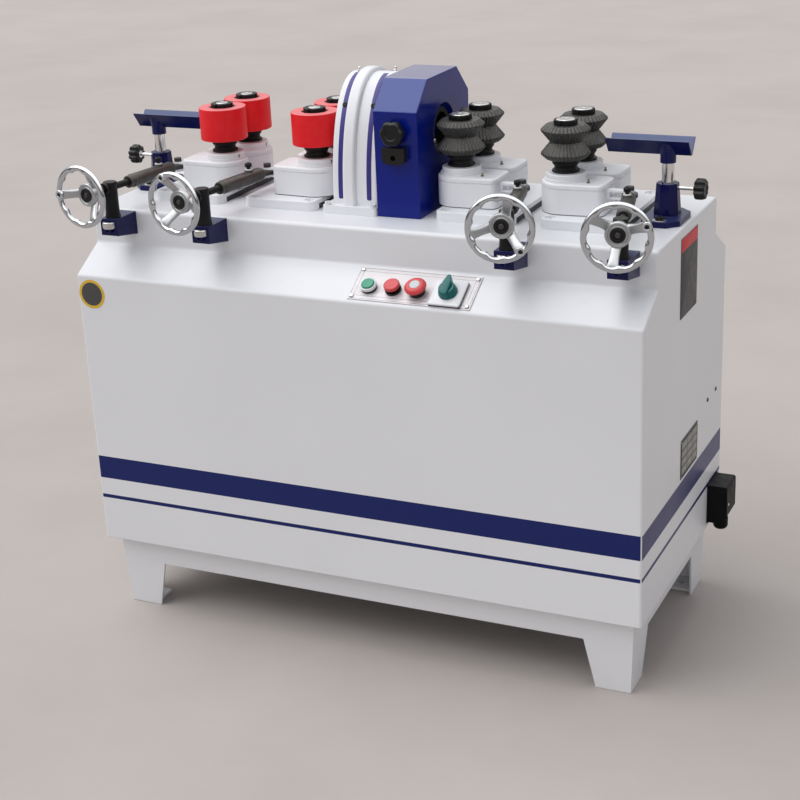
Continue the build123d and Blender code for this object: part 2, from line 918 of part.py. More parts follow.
def make_swing_box(name, side, x, row):
    plan = box_plan(side)
    casting = extrude(plan, box_height)
    casting = fillet(casting.edges().group_by(Axis.Z)[-1], box_edge)
    seam = extrude(plan - offset(plan, -lid_seam_depth), lid_seam)
    casting -= Pos(0, 0, box_height - lid_thickness - lid_seam) * seam
    top = box_height + boss_height
    boss = rod(boss_radius, box_height, top)
    casting += fillet(boss.edges().group_by(Axis.Z)[-1], boss_edge)
    casting += rod(boss_radius + boss_step, box_height, box_height + boss_step_height)
    pivot = Pos(side * pivot_offset, 0, 0)
    casting += pivot * Pos(0, 0, sector_rise) * sector(row)
    casting -= pivot * rod(pivot_radius + running, -past, pivot_height + air)
    casting -= rod(spindle_radius + running, top - spindle_depth, top + past)
    pieces = [Pos(x, roller_y(row), box_bottom) * casting]
    if row < 0:
        pieces.append(make_lug(side, x))
    save(f"swing_box_{name}_{'front' if row < 0 else 'rear'}", *pieces)


def pin_point(side, x):
    reach = infeed_lug_reach if side > 0 else outfeed_lug_reach
    return x + side * reach, roller_y(-1) - lug_drop


def make_lug(side, x):
    # Fork on the end of the front box, with a pin through the eye of the spring tube
    pin_x, pin_y = pin_point(side, x)
    root_x = x + side * box_reach
    half_gap = eye_thickness / 2 + jaw_gap
    low = screw_z - half_gap - jaw_thickness
    high = screw_z + half_gap + jaw_thickness
    width = (pin_y - jaw_half, pin_y + jaw_half)
    lug = block((root_x, root_x + side * lug_web), width, (low, high))
    for bottom in (low, high - jaw_thickness):
        top = bottom + jaw_thickness
        lug += block((root_x, pin_x), width, (bottom, top))
        lug += rod(jaw_half, bottom, top, pin_x, pin_y)
    lug += rod(lug_pin_radius, low - lug_pin_tail, high + past, pin_x, pin_y)
    head = extrude(RegularPolygon(2 * lug_pin_radius, 6), lug_head_height)
    return lug + Pos(pin_x, pin_y, high) * head


def star(radius, z):
    # Outline of a toothed ring: tips and roots in turn
    points = []
    root = radius - tooth_depth * radius / roller_radius
    for i in range(tooth_count):
        for half, r in ((0, radius), (0.5, root)):
            angle = 2 * pi * (i + half) / tooth_count
            points.append((r * cos(angle), r * sin(angle), z))
    return make_face(Polyline(*points, close=True))


def tyred_roller(bore):
    core = rod(tyre_core_radius, roller_bottom, roller_top) - bore
    tyre = rod(roller_radius, roller_bottom + tyre_inset, roller_top - tyre_inset)
    tyre = fillet(tyre.edges(), tyre_edge)
    return [core, tyre - rod(tyre_core_radius + snug, roller_bottom, roller_top)]


def toothed_roller(bore):
    # Two toothed wheels, set face to face so that they form a waist
    wheels = []
    for side in (-1, 1):
        rings = [
            star(waist_radius, feed_z),
            star(roller_radius, feed_z + side * rim_half_gap),
            star(crown_radius, feed_z + side * roller_height / 2),
        ]
        wheels.append(loft(rings, ruled=True) - bore)
    return wheels


def make_roller(name, side, x, row):
    step = collar_bottom + collar_flange
    shaft = rod(spindle_radius, boss_top - spindle_depth + air, roller_top + nut_height - past)
    shaft += rod(collar_flange_radius, collar_bottom, step)
    shaft += rod(collar_radius, step, roller_bottom)
    nut_top = roller_top + nut_height
    nut = rod(nut_radius, roller_top, nut_top)
    slot = Box(2 * nut_slot_depth, nut_slot_width, 2 * nut_height)
    for place in PolarLocations(nut_radius, nut_slots):
        nut -= Pos(0, 0, roller_top + nut_height / 2) * place * slot
    nut -= rod(spindle_radius + snug, roller_top - past, nut_top + past)
    bore = rod(spindle_radius + snug, roller_bottom - past, roller_top + past)
    body = tyred_roller(bore) if side < 0 else toothed_roller(bore)
    at = Pos(x, roller_y(row), 0)
    pieces = [at * piece for piece in (shaft, nut, *body)]
    save(f"roller_{name}_{'front' if row < 0 else 'rear'}", *pieces)


def screw_frame(side, x):
    # Local Z runs along the screw towards the operator, from the middle of the post
    pin_x, pin_y = pin_point(side, x)
    skew = radians(infeed_screw_skew if side > 0 else outfeed_screw_skew)
    run = (pin_y - post_y) / cos(skew)
    origin = (pin_x + side * run * sin(skew), post_y, screw_z)
    across = (cos(skew), side * sin(skew), 0)
    along = (side * sin(skew), -cos(skew), 0)
    return Plane(origin=origin, x_dir=across, z_dir=along), run


def make_handwheel(name, side, x):
    # Dished wheel with three spokes, one of them with a threaded boss at the rim
    frame, run = screw_frame(side, x)
    rim_at = hub_front + rim_forward
    rim_middle = wheel_radius - rim_radius
    hub = rod(hub_radius, hub_back, hub_front)
    hub = fillet(hub.edges().group_by(Axis.Z)[-1], hub_edge)
    between = Rot(0, 0, 180 / spoke_count)
    wheel = between * hub + between * Pos(0, 0, rim_at) * Torus(rim_middle, rim_radius)
    spoke_front = hub_front - spoke_set_back
    side_view = [
        (hub_radius - spoke_bite, spoke_front - spoke_root),
        (hub_radius - spoke_bite, spoke_front),
        (rim_middle, rim_at + spoke_tip / 2),
        (rim_middle, rim_at - spoke_tip / 2),
    ]
    spoke = Pos(0, spoke_width / 2, 0) * prism(side_view, Plane.XZ, spoke_width)
    for index in range(spoke_count):
        wheel += Rot(0, 0, index * 360 / spoke_count) * spoke
    boss_end = rim_at + rim_radius + rim_boss_proud
    wheel += rod(rim_boss_radius, rim_at, boss_end, rim_middle)
    wheel -= rod(rim_boss_bore, rim_at, boss_end + past, rim_middle)
    wheel -= rod(screw_radius + snug, hub_back - past, hub_front + past)
    wheel = Rot(0, 0, wheel_turn[name]) * wheel
    screw = rod(screw_radius, -screw_length_in, hub_front)
    collar = post_radius + collar_gap
    screw += rod(screw_collar_radius, collar, collar + screw_collar_length)
    plug = rod(plug_radius, hub_front, hub_front + plug_height)
    save(f"handwheel_{name}", frame * wheel, frame * screw, frame * plug)


def make_spring_tube(name, side, x):
    # Nut sleeve in front, eye at the back, bolt on top
    frame, run = screw_frame(side, x)
    tube = rod(tube_radius, -(run - eye_radius - eye_neck_length), -tube_front)
    tube = fillet(tube.edges(), tube_edge)
    tube += rod(tube_collar_radius, -tube_front, -tube_front + tube_collar_length)
    upright = Pos(0, 0, -tube_bolt_at) * Rot(-90, 0, 0)
    seat_top = tube_radius + tube_washer
    tube += upright * rod(tube_bolt_seat, 0, seat_top)
    half = eye_thickness / 2
    eye = rod(eye_radius, -half, half)
    eye += block((-eye_neck_half, eye_neck_half), (0, eye_radius + 2 * eye_neck_length), (-half, half))
    slot = SlotCenterToCenter(2 * eye_slip, 2 * (lug_pin_radius + eye_play))
    eye -= Pos(0, 0, -eye_thickness) * extrude(slot, 2 * eye_thickness)
    tube += Pos(0, 0, -run) * Rot(90, 0, 0) * eye
    tube -= rod(screw_radius + tube_bore_gap, -tube_bore_end, 0)
    washer = upright * rod(tube_washer_radius, seat_top, seat_top + tube_washer)
    head = extrude(RegularPolygon(tube_bolt_radius, 6), tube_bolt_height)
    head = upright * Pos(0, 0, seat_top + tube_washer) * head
    save(f"spring_tube_{name}", frame * tube, frame * washer, frame * head)


def make_posts():
    posts = []
    brackets = []
    bracket_top = table_top - bracket_drop
    bracket_bottom = bracket_top - bracket_height
    front = post_y - bracket_front
    outline = [
        (-half_table, bracket_bottom),
        (-half_table, bracket_top),
        (front, bracket_top),
        (front, bracket_bottom + bracket_chamfer),
    ]
    for side, x in stations.values():
        frame, run = screw_frame(side, x)
        post_x = frame.origin.X
        seat = bracket_bottom + post_seat
        post = rod(post_radius, seat, screw_z + post_above, post_x, post_y)
        post = fillet(post.edges().group_by(Axis.Z)[-1], post_dome)
        foot = Cone(post_foot_radius, post_radius, post_foot_height)
        post += Pos(post_x, post_y, bracket_top + post_foot_height / 2) * foot
        posts.append(post - frame * rod(screw_radius + running, -2 * post_radius, 2 * post_radius))
        bracket = Pos(post_x - bracket_width / 2, 0, 0) * prism(outline, Plane.YZ, bracket_width)
        brackets.append(bracket - rod(post_radius + snug, seat, bracket_top + past, post_x, post_y))
    save("screw_posts", *posts)
    save("screw_brackets", *brackets)


def hood_face(inset, low):
    # Upright sides, sloped shoulders and a flat top, drawn inset by a sheet and with rounded bends
    slope = atan2(hood_top_above - hood_shoulder_above, hood_half - hood_top_half)
    side = hood_half - inset
    crest = hood_top_half - inset * tan(slope / 2)
    ridge = feed_z + hood_top_above - inset
    knee = ridge - (side - crest) * tan(slope)
    face = make_face(
        Polyline(
            (feed_y - side, low),
            (feed_y - side, knee),
            (feed_y - crest, ridge),
            (feed_y + crest, ridge),
            (feed_y + side, knee),
            (feed_y + side, low),
            close=True,
        )
    )
    bends = face.vertices().filter_by(lambda v: v.Y > low + past)
    return fillet(bends, hood_bend - inset)


def make_hood():
    bottom = table_top + air
    length = hood_right - hood_left
    shell = Pos(hood_left, 0, 0) * extrude(Plane.YZ * hood_face(0, bottom), length)
    right_end = shell.faces().sort_by(Axis.X)[-1]
    shell = fillet(right_end.edges().filter_by(lambda e: e.center().Z > bottom + past), hood_edge)
    hollow = extrude(Plane.YZ * hood_face(hood_sheet, bottom - past), length - hood_sheet + past)
    shell -= Pos(hood_left - past, 0, 0) * hollow
    entry = bush_radius + hood_entry_gap
    shell -= barrel(entry, hood_right - 2 * hood_sheet, hood_right + past, feed_y, feed_z)
    knuckle = (hood_left + knuckle_margin, hood_right - knuckle_margin)
    wall = feed_y + hood_half
    shell += barrel(knuckle_radius, *knuckle, hinge_y, hinge_z)
    shell += block(knuckle, (wall, hinge_y), (hinge_z - knuckle_radius, hinge_z + knuckle_radius))
    shell -= barrel(hinge_radius + running, knuckle[0] - past, knuckle[1] + past, hinge_y, hinge_z)
    front = feed_y - hood_half
    knob_place = ((hood_left + hood_right) / 2, front, feed_z + knob_above)
    facing = Plane(origin=knob_place, x_dir=(1, 0, 0), z_dir=(0, -1, 0))
    shell -= facing * rod(stud_radius + running, -2 * hood_sheet, past)
    # Latch cup under the knob
    latch_top = -knob_radius - latch_gap
    latch = Pos(0, latch_top - latch_height / 2, latch_depth / 2)
    latch = latch * Box(2 * latch_half, latch_height, latch_depth)
    latch = fillet(latch.edges().filter_by(Axis.Z).group_by(Axis.Y)[0], latch_corner)
    latch -= rod(latch_hole_radius, latch_hole_floor, latch_depth + past, 0, latch_top - latch_hole_drop)
    save("cutter_hood", shell, facing * latch)
    grip = Pos(0, 0, knob_neck) * lobed_knob(knob_radius, knob_thickness)
    grip += rod(knob_neck_radius, air, knob_neck)
    grip += rod(stud_radius, -stud_in, air)
    save("hood_knob", facing * grip)


def trough_outline(inset):
    # Floor and lip of the trough, walls leaning outwards; inset 1 gives the hollow
    lean = hypot(trough_spread, trough_height)
    shift = trough_sheet * lean / trough_height * inset
    splay = trough_spread / trough_height
    floor = trough_floor - shift + trough_sheet * splay * inset
    lip = trough_floor + trough_spread - shift + past * inset * splay
    lip_z = trough_height + past * inset
    return [
        (feed_y - floor, trough_sheet * inset),
        (feed_y + floor, trough_sheet * inset),
        (feed_y + lip, lip_z),
        (feed_y - lip, lip_z),
    ]


def column_outline(across):
    # Polygon with flats towards the stock and the clamp
    return RegularPolygon(across / 2, column_sides, major_radius=False, rotation=180 / column_sides)


def make_rests():
    stands = []
    base_top = table_top + rest_base_thickness
    column_z = base_top + column_height
    clamp_z = column_z - clamp_drop
    floor_z = feed_z - trough_drop
    socket_z = floor_z - socket_height
    for name, (side, x) in rests.items():
        base = Pos(x, feed_y - rest_base_shift, table_top + rest_base_thickness / 2)
        base = base * Box(rest_base_x, rest_base_y, rest_base_thickness)
        base = chamfer(base.edges().filter_by(Axis.Z), rest_base_chamfer)
        low = Pos(x, feed_y, base_top) * column_outline(column_bottom)
        high = Pos(x, feed_y, column_z) * column_outline(column_top)
        stand = base + loft([low, high])
        stand -= rod(rest_post_radius + running, table_top + rest_post_floor, column_z + past, x, feed_y)
        column_face = x + side * column_bottom / 2
        stand -= barrel(clamp_stud_radius + running, x, column_face + side * past, feed_y, clamp_z)
        stands.append(stand)
        # Trough on a flared socket, and its sliding post
        start = x - side * trough_offset - trough_length / 2
        hollow = prism(trough_outline(1), Plane.YZ, trough_length + 2 * past)
        hollow = Pos(start - past, 0, floor_z) * hollow
        flare_low = (socket_radius, floor_z - socket_flare_low)
        flare_high = (socket_radius + socket_flare, floor_z + socket_flare_high)
        profile = Polyline((0, flare_high[1]), (0, socket_z), (socket_radius, socket_z), flare_low)
        profile += TangentArc(flare_low, flare_high, tangent=(0, 1))
        profile += Line(flare_high, (0, flare_high[1]))
        socket = Pos(x, feed_y, 0) * revolve(Plane.XZ * make_face(profile), Axis.Z)
        trough = Pos(start, 0, floor_z) * prism(trough_outline(0), Plane.YZ, trough_length)
        trough = trough + socket - hollow
        post = rod(rest_post_radius, column_z - rest_post_in, socket_z, x, feed_y)
        save(f"work_rest_{name}", trough, post)
        # Clamp knob on a stud through the column
        tip = x + side * (rest_post_radius + air)
        shoulder = column_face + side * clamp_stud_show
        facing = Plane(origin=(shoulder, feed_y, clamp_z), x_dir=(0, 1, 0), z_dir=(side, 0, 0))
        grip = facing * lobed_knob(clamp_knob_radius, clamp_knob_thickness)
        stud = barrel(clamp_stud_radius, tip, shoulder, feed_y, clamp_z)
        save(f"clamp_knob_{name}", grip, stud)
    save("rest_stands", *stands)


def on_deck(x, piece):
    return deck_plane * Pos(x, -control_drop, 0) * piece


def switch_body(size):
    # Neck through the deck and the body under it
    top = -sheet - switch_neck
    body = Pos(0, 0, top - switch_body_length / 2) * Box(size, size, switch_body_length)
    return body + rod(control_hole / 2 - control_gap, top, plate_thickness)


def make_button(name):
    # Bezel and cap of one button, by its kind
    if name == "start":
        bezel_top = plate_thickness + bezel_height
        head_z = plate_thickness + 2 * button_stop_gap + button_travel
        bezel = rod(bezel_radius, plate_thickness, bezel_top)
        bezel -= rod(button_radius + air, plate_thickness + button_stop_gap, bezel_top + past)
        cap = rod(button_radius, head_z, bezel_top + button_proud)
        return bezel, fillet(cap.edges().group_by(Axis.Z)[-1], button_edge), head_z, bezel_top
    if name == "stop":
        rise, radius, height, edge = stop_bezel_height, stop_cap_radius, stop_cap_height, stop_cap_edge
    else:
        rise, radius, height, edge = mushroom_bezel_height, mushroom_radius, mushroom_height, mushroom_dome
    bezel_top = plate_thickness + rise
    head_z = bezel_top + button_travel + button_stop_gap
    bezel = rod(bezel_radius, plate_thickness, bezel_top)
    cap = rod(radius, head_z, head_z + height)
    cap = fillet(cap.edges().group_by(Axis.Z)[-1], edge)
    return bezel, cap + rod(button_neck_radius, head_z - button_stop_gap / 2, head_z), head_z, bezel_top


def make_controls():
    plate = Pos(plate_left + plate_width / 2, 0, plate_thickness / 2)
    plate = plate * Box(plate_width, plate_depth, plate_thickness)
    plate = chamfer(plate.edges().group_by(Axis.Z)[-1], plate_edge)
    for x in (*button_places.values(), selector_place):
        plate -= Pos(x, -control_drop, 0) * Cylinder(control_hole / 2, 8 * plate_thickness)
    save("control_plate", deck_plane * plate)
    bodies = []
    stem_bottom = -sheet - stem_length
    for name, x in button_places.items():
        bezel, cap, head_z, bezel_top = make_button(name)
        sleeve = switch_body(switch_body_size) + bezel
        sleeve -= rod(stem_radius + running, stem_bottom - button_travel - past, bezel_top + past)
        bodies.append(on_deck(x, sleeve))
        save(f"{name}_button", on_deck(x, cap + rod(stem_radius, stem_bottom, head_z)))
    base = plate_thickness + selector_plate_height
    square = Pos(0, 0, plate_thickness + selector_plate_height / 2)
    square = square * Box(selector_plate, selector_plate, selector_plate_height)
    switch = chamfer(square.edges().group_by(Axis.Z)[-1], selector_plate_edge)
    switch += switch_body(selector_body_size)
    switch -= rod(stem_radius + running, 0, base + past)
    bodies.append(on_deck(selector_place, switch))
    save("switch_bodies", *bodies)
    knob = rod(selector_knob_radius, base + air, base + air + selector_knob_height)
    half = selector_grip_width / 2
    shoulder = selector_knob_radius + selector_tip - selector_tip_length
    grip = [
        (-half, -selector_knob_radius),
        (half, -selector_knob_radius),
        (half, shoulder),
        (0, selector_knob_radius + selector_tip),
        (-half, shoulder),
    ]
    knob += prism(grip, Plane.XY.offset(base + air), selector_grip_height)
    knob += rod(stem_radius, past, base + air + past)
    save("selector_knob", on_deck(selector_place, knob))


def make_inlet():
    wall = half_width
    middle_y = half_depth - inlet_edge
    middle_z = base_height + inlet_rise
    y = (middle_y - inlet_width / 2, middle_y + inlet_width / 2)
    z = (middle_z - inlet_height / 2, middle_z + inlet_height / 2)
    lap = inlet_flange_lap
    flange = block((wall, wall + inlet_flange), (y[0] - lap, y[1] + lap), (z[0] - lap, z[1] + lap))
    face = wall + inlet_depth
    side_view = [
        (wall + inlet_flange, z[0]),
        (face - inlet_slope, z[0]),
        (face, z[0] + inlet_slope),
        (face, z[1]),
        (wall + inlet_flange, z[1]),
    ]
    body = Pos(0, y[1], 0) * prism(side_view, Plane.XZ, inlet_width)
    outer_edges = body.edges().filter_by(Axis.Y).filter_by(lambda e: e.center().X > face - past)
    body = fillet(outer_edges, inlet_corner)
    gland = rod(gland_radius, z[0] - gland_length, z[0], wall + inlet_depth / 2, middle_y)
    gland = fillet(gland.edges().group_by(Axis.Z)[0], gland_round)
    save("power_inlet", flange, body + gland)


def make_fasteners():
    heads = []
    for side, x in stations.values():
        for bolt_x, bolt_y in plate_bolts(side, x):
            head = socket_head(plate_bolt_radius, plate_bolt_height)
            heads.append(Pos(bolt_x, bolt_y, plate_bolt_seat()) * head)
        frame, run = screw_frame(side, x)
        bolt_z = table_top - bracket_drop - bracket_bolt_drop
        nose = (frame.origin.X, post_y - bracket_front, bolt_z)
        facing = Plane(origin=nose, x_dir=(1, 0, 0), z_dir=(0, -1, 0))
        heads.append(facing * socket_head(bracket_bolt_radius, bracket_bolt_height))
    for x in (headstock_left - flange_overhang + flange_bolt_edge, headstock_right - flange_bolt_edge):
        for row in (-1, 1):
            y = feed_y + row * (flange_half - flange_bolt_side)
            head = socket_head(flange_bolt_radius, flange_bolt_height)
            heads.append(Pos(x, y, table_top + headstock_flange) * head)
    for side, x in rests.values():
        for row in (-1, 1):
            y = feed_y - rest_base_shift + row * (rest_base_y / 2 - rest_bolt_edge)
            head = socket_head(rest_bolt_radius, rest_bolt_height)
            heads.append(Pos(x, y, table_top + rest_base_thickness) * head)
    dome = rod(plate_screw_radius, plate_thickness, plate_thickness + plate_screw_height)
    dome = fillet(dome.edges().group_by(Axis.Z)[-1], plate_screw_dome)
    for x in (plate_left + plate_screw_edge, plate_left + plate_width - plate_screw_edge):
        for row in (-1, 1):
            heads.append(deck_plane * Pos(x, row * (plate_depth / 2 - plate_screw_edge), 0) * dome)
    half = rear_opening_width / 2 + rear_panel_lap / 2
    bottom = base_height + rear_opening_rise - rear_panel_lap / 2
    for x in (-half, 0, half):
        for z in (bottom, bottom + rear_opening_height + rear_panel_lap):
            place = (x, half_depth + rear_panel_sheet, z)
            outward = Plane(origin=place, x_dir=(1, 0, 0), z_dir=(0, 1, 0))
            heads.append(outward * rod(panel_screw_radius, 0, panel_screw_height))
    save("fasteners", *heads)


def main():
    os.makedirs("parts", exist_ok=True)
    make_cabinet()
    make_base()
    make_table_plate()
    make_rear_panel()
    make_headstock()
    make_bearings()
    make_spindle()
    make_cutter()
    make_bush()
    make_belt_drive()
    make_motor()
    make_feed_drive()
    make_base_plates()
    for name, (side, x) in stations.items():
        for row in (-1, 1):
            make_swing_box(name, side, x, row)
            make_roller(name, side, x, row)
        make_handwheel(name, side, x)
        make_spring_tube(name, side, x)
    make_posts()
    make_hood()
    make_rests()
    make_controls()
    make_inlet()
    make_fasteners()


main()
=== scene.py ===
from math import cos, hypot, pi, radians, sin

import bmesh
import bpy
import numpy as np
from mathutils import Matrix, Vector


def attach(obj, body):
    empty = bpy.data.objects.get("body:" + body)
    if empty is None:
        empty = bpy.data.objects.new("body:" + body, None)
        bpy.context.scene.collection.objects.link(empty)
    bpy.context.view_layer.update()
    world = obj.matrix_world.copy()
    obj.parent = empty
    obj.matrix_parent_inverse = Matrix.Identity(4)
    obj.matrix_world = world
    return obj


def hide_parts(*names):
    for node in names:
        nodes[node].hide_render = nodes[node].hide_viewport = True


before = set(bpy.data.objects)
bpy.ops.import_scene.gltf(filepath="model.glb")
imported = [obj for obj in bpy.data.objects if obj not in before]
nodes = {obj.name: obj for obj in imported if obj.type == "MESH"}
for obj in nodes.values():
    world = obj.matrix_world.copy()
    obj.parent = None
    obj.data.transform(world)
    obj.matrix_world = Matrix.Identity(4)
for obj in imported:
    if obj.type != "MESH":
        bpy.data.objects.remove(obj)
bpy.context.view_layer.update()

mm = 0.001
tiny = 1e-9
joinWithin, shortEdge = 2e-6, 1e-7
print("frame loaded:", len(nodes), "nodes")

# Places that several pieces share, in millimetres
place = {
    "feedY": 10, "feedZ": 961, "rollerHalf": 48, "postY": -240, "screwZ": 874,
    "wallX": 560, "frontY": -268, "lugDrop": 10,
}
stations = {
    "outfeed_end": {"side": -1, "x": -346, "reach": 104, "skew": 9, "turn": 180},
    "outfeed_mid": {"side": -1, "x": -147, "reach": 104, "skew": 9, "turn": 115},
    "infeed_mid": {"side": 1, "x": 147, "reach": 120, "skew": 13, "turn": 312},
    "infeed_end": {"side": 1, "x": 346, "reach": 120, "skew": 13, "turn": 22},
}
rows = {"front": -1, "rear": 1}


def seats():
    # Each roller's tag, side and row, and where its axis stands
    for station, facts in stations.items():
        for row, sign in rows.items():
            y = place["feedY"] + sign * place["rollerHalf"]
            yield f"{station}_{row}", facts["side"], row, facts["x"], y


# Meshes
def parabolas(a, p, b, steps):
    # Each corner P becomes the parabola (1-t)^2 A + 2t(1-t) P + t^2 B
    t = np.linspace(0, 1, steps)[None, :, None]
    curve = (1 - t) ** 2 * a[:, None] + 2 * t * (1 - t) * p[:, None] + t ** 2 * b[:, None]
    return curve.reshape(-1, p.shape[1])


def softened(corners, cut, steps=6, mostCut=0.48):
    # Corners of an open line rounded; A and B lie a cut from P, and at most a share of the side away
    p = np.asarray(corners, float)
    before = np.vstack([p[:1], p[:-1]]) - p
    after = np.vstack([p[1:], p[-1:]]) - p
    reach = np.broadcast_to(np.asarray(cut, float), (len(p),))
    sides = []
    for v in (before, after):
        length = np.maximum(np.linalg.norm(v, axis=1), tiny)
        sides.append(p + v * (np.minimum(reach, mostCut * length) / length)[:, None])
    return parabolas(sides[0], p, sides[1], steps)


def softLoop(corners, cut, steps=5):
    # The same round a closed outline
    p = np.asarray(corners, float)
    sides = [np.roll(p, shift, 0) - p for shift in (1, -1)]
    a, b = (p + v * (cut / np.linalg.norm(v, axis=1))[:, None] for v in sides)
    return parabolas(a, p, b, steps)


def boxLoop(x0, x1, y0, y1, cut):
    # Rectangle from x0 to x1 and from y0 to y1, with soft corners
    return softLoop([(x0, y0), (x1, y0), (x1, y1), (x0, y1)], cut)


def circle(count):
    # Angles from 0 up to 2 pi, in equal steps
    return np.linspace(0, 2 * pi, count, endpoint=False)


def aroundZ(r, z, a):
    # Points (r cos a, r sin a, z)
    x, y = r * np.cos(a), r * np.sin(a)
    return np.stack([x, y, np.broadcast_to(z, x.shape)], -1)


def revolved(profile, sides=48):
    # An open (r, z) line turned about local Z
    r, z = np.asarray(profile, float).T
    return aroundZ(r[:, None], z[:, None], circle(sides)), False, True


def lathe(corners, cut, sides=48, steps=6):
    # An (r, z) line of corners, softened and turned about local Z
    return revolved(softened(corners, cut, steps), sides)


def latheRing(corners, cut, sides=48, steps=6):
    # The same for a closed (r, z) outline
    points, _, closed = lathe(corners, cut, sides, steps)
    return points, True, closed


def drumLine(r, low, high, bore=0):
    # Drum, or ring with a bore, as (r, z): out along its foot, up its side and in along its top
    return [(bore, low), (r, low), (r, high), (bore, high)]


def pushed(outline, low, high, edge=0.5, middle=None, step=0.3):
    # An outline carried from low to high along Z; its rims shrink by edge along the outline's normals
    p = np.asarray(outline, float)
    along = np.roll(p, -1, 0) - np.roll(p, 1, 0)
    normal = np.stack([along[:, 1], -along[:, 0]], -1)
    normal /= np.maximum(np.linalg.norm(normal, axis=1), tiny)[:, None]
    area = 0.5 * np.sum(p[:, 0] * np.roll(p[:, 1], -1) - np.roll(p[:, 0], -1) * p[:, 1])
    inset = -edge * np.sign(area) * normal
    centre = p.mean(0) if middle is None else np.asarray(middle, float)
    turn = np.array([0, step, 1, 1, step, 0])
    height = np.array([low, low + step * edge, low + edge, high - edge, high - step * edge, high])
    flat = p[None] + (1 - turn)[:, None, None] ** 1.5 * inset[None]
    body = np.concatenate([flat, np.broadcast_to(height[:, None, None], (len(turn), len(p), 1))], -1)
    caps = [np.repeat(np.array([[[*centre, z]]]), len(p), 1) for z in (low, high)]
    return np.concatenate([caps[0], body, caps[1]]), False, True


def placed(surface, origin, zAxis, xAxis):
    # Local x, y, z carried to origin + x X + y Y + z Z, where Y = Z cross X
    z = np.asarray(zAxis, float) / np.linalg.norm(zAxis)
    x = np.asarray(xAxis, float) - z * np.dot(xAxis, z)
    x /= np.linalg.norm(x)
    basis = np.stack([x, np.cross(z, x), z])
    return surface[0] @ basis + np.asarray(origin, float), *surface[1:]


def upright(surface, x, y, z=0):
    # Moved along X, Y and Z, not turned
    return surface[0] + np.array([x, y, z], float), *surface[1:]


def turned(surface, degrees):
    # Turned about local Z
    c, s = cos(radians(degrees)), sin(radians(degrees))
    return surface[0] @ np.array([[c, s, 0], [-s, c, 0], [0, 0, 1]]), *surface[1:]


def gridQuads(shape, closedU, closedV, start):
    # Quads between neighbours of a grid; a closed direction joins its last line to its first
    rowCount, colCount = shape
    u = np.arange(rowCount if closedU else rowCount - 1)
    v = np.arange(colCount if closedV else colCount - 1)
    u, v = (g.ravel() for g in np.meshgrid(u, v, indexing="ij"))
    un, vn = (u + 1) % rowCount, (v + 1) % colCount
    return start + np.stack([u * colCount + v, un * colCount + v, un * colCount + vn, u * colCount + vn], -1)


def addObject(name, data):
    made = bpy.data.objects.new(name, data)
    bpy.context.scene.collection.objects.link(made)
    return made


def makePiece(name, surfaces, material, body="frame", hides=(), crease=38):
    # Grids in millimetres become one mesh in metres: doubles merged, normals outwards, creases kept
    points, quads, start = [], [], 0
    for grid, closedU, closedV in surfaces:
        points.append(grid.reshape(-1, 3))
        quads.append(gridQuads(grid.shape[:2], closedU, closedV, start))
        start += grid.shape[0] * grid.shape[1]
    mesh = bpy.data.meshes.new(name)
    mesh.from_pydata((np.concatenate(points) * mm).tolist(), [], np.concatenate(quads).tolist())
    work = bmesh.new()
    work.from_mesh(mesh)
    bmesh.ops.remove_doubles(work, verts=work.verts, dist=joinWithin)
    bmesh.ops.dissolve_degenerate(work, edges=work.edges, dist=shortEdge)
    bmesh.ops.recalc_face_normals(work, faces=work.faces)
    work.to_mesh(mesh)
    work.free()
    mesh.shade_smooth()
    mesh.set_sharp_from_angle(angle=radians(crease))
    mesh.materials.append(finishes[material])
    piece = addObject(name, mesh)
    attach(piece, body)
    if hides:
        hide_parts(*hides)


# Shader nodes
def feed(value, socket):
    # A number or colour is set on the socket, and an output is linked to it
    if isinstance(value, (int, float, tuple)):
        socket.default_value = value
    else:
        socket.id_data.links.new(value, socket)


def addNode(owner, kind, **values):
    # The owner is a node tree or a socket in it
    made = owner.id_data.nodes.new(f"ShaderNode{kind}")
    for key, value in values.items():
        if key in made.inputs:
            made.inputs[key].default_value = value
        else:
            setattr(made, key, value)
    return made


def mathNode(operation, a, b=0, clamp=False):
    owner = b if isinstance(a, (int, float)) else a
    made = addNode(owner, "Math", operation=operation, use_clamp=clamp)
    feed(a, made.inputs[0])
    feed(b, made.inputs[1])
    return made.outputs[0]


def times(a, b, clamp=False):
    return mathNode("MULTIPLY", a, b, clamp)


def plus(a, b, clamp=False):
    return mathNode("ADD", a, b, clamp)


def above(value, level):
    return mathNode("GREATER_THAN", value, level)


def below(value, level):
    return mathNode("LESS_THAN", value, level)


def between(value, limits):
    return times(above(value, limits[0]), below(value, limits[1]))


def either(a, b):
    return mathNode("MAXIMUM", a, b)


def vectorNode(operation, a, b, second=1):
    made = addNode(a, "VectorMath", operation=operation)
    feed(a, made.inputs[0])
    feed(b, made.inputs[second])
    return made.outputs


def mixColor(factor, a, b):
    made = addNode(factor, "Mix", data_type="RGBA")
    for index, value in ((0, factor), (6, a), (7, b)):
        feed(value, made.inputs[index])
    return made.outputs[2]


def ramp(value, low, high, fromValue=0, toValue=1):
    made = addNode(value, "MapRange", clamp=True, interpolation_type="SMOOTHSTEP")
    for index, given in enumerate((value, low, high, fromValue, toValue)):
        feed(given, made.inputs[index])
    return made.outputs[0]


def noiseOn(vector, scale, detail=2, rough=0.5):
    made = addNode(vector, "TexNoise", Detail=detail, Roughness=rough)
    feed(vector, made.inputs["Vector"])
    feed(scale, made.inputs["Scale"])
    return made.outputs[0]


def coordinate(tree, kind="Object"):
    return addNode(tree, "TexCoord").outputs[kind]


def axes(vector):
    split = addNode(vector, "SeparateXYZ")
    feed(vector, split.inputs[0])
    return tuple(split.outputs)


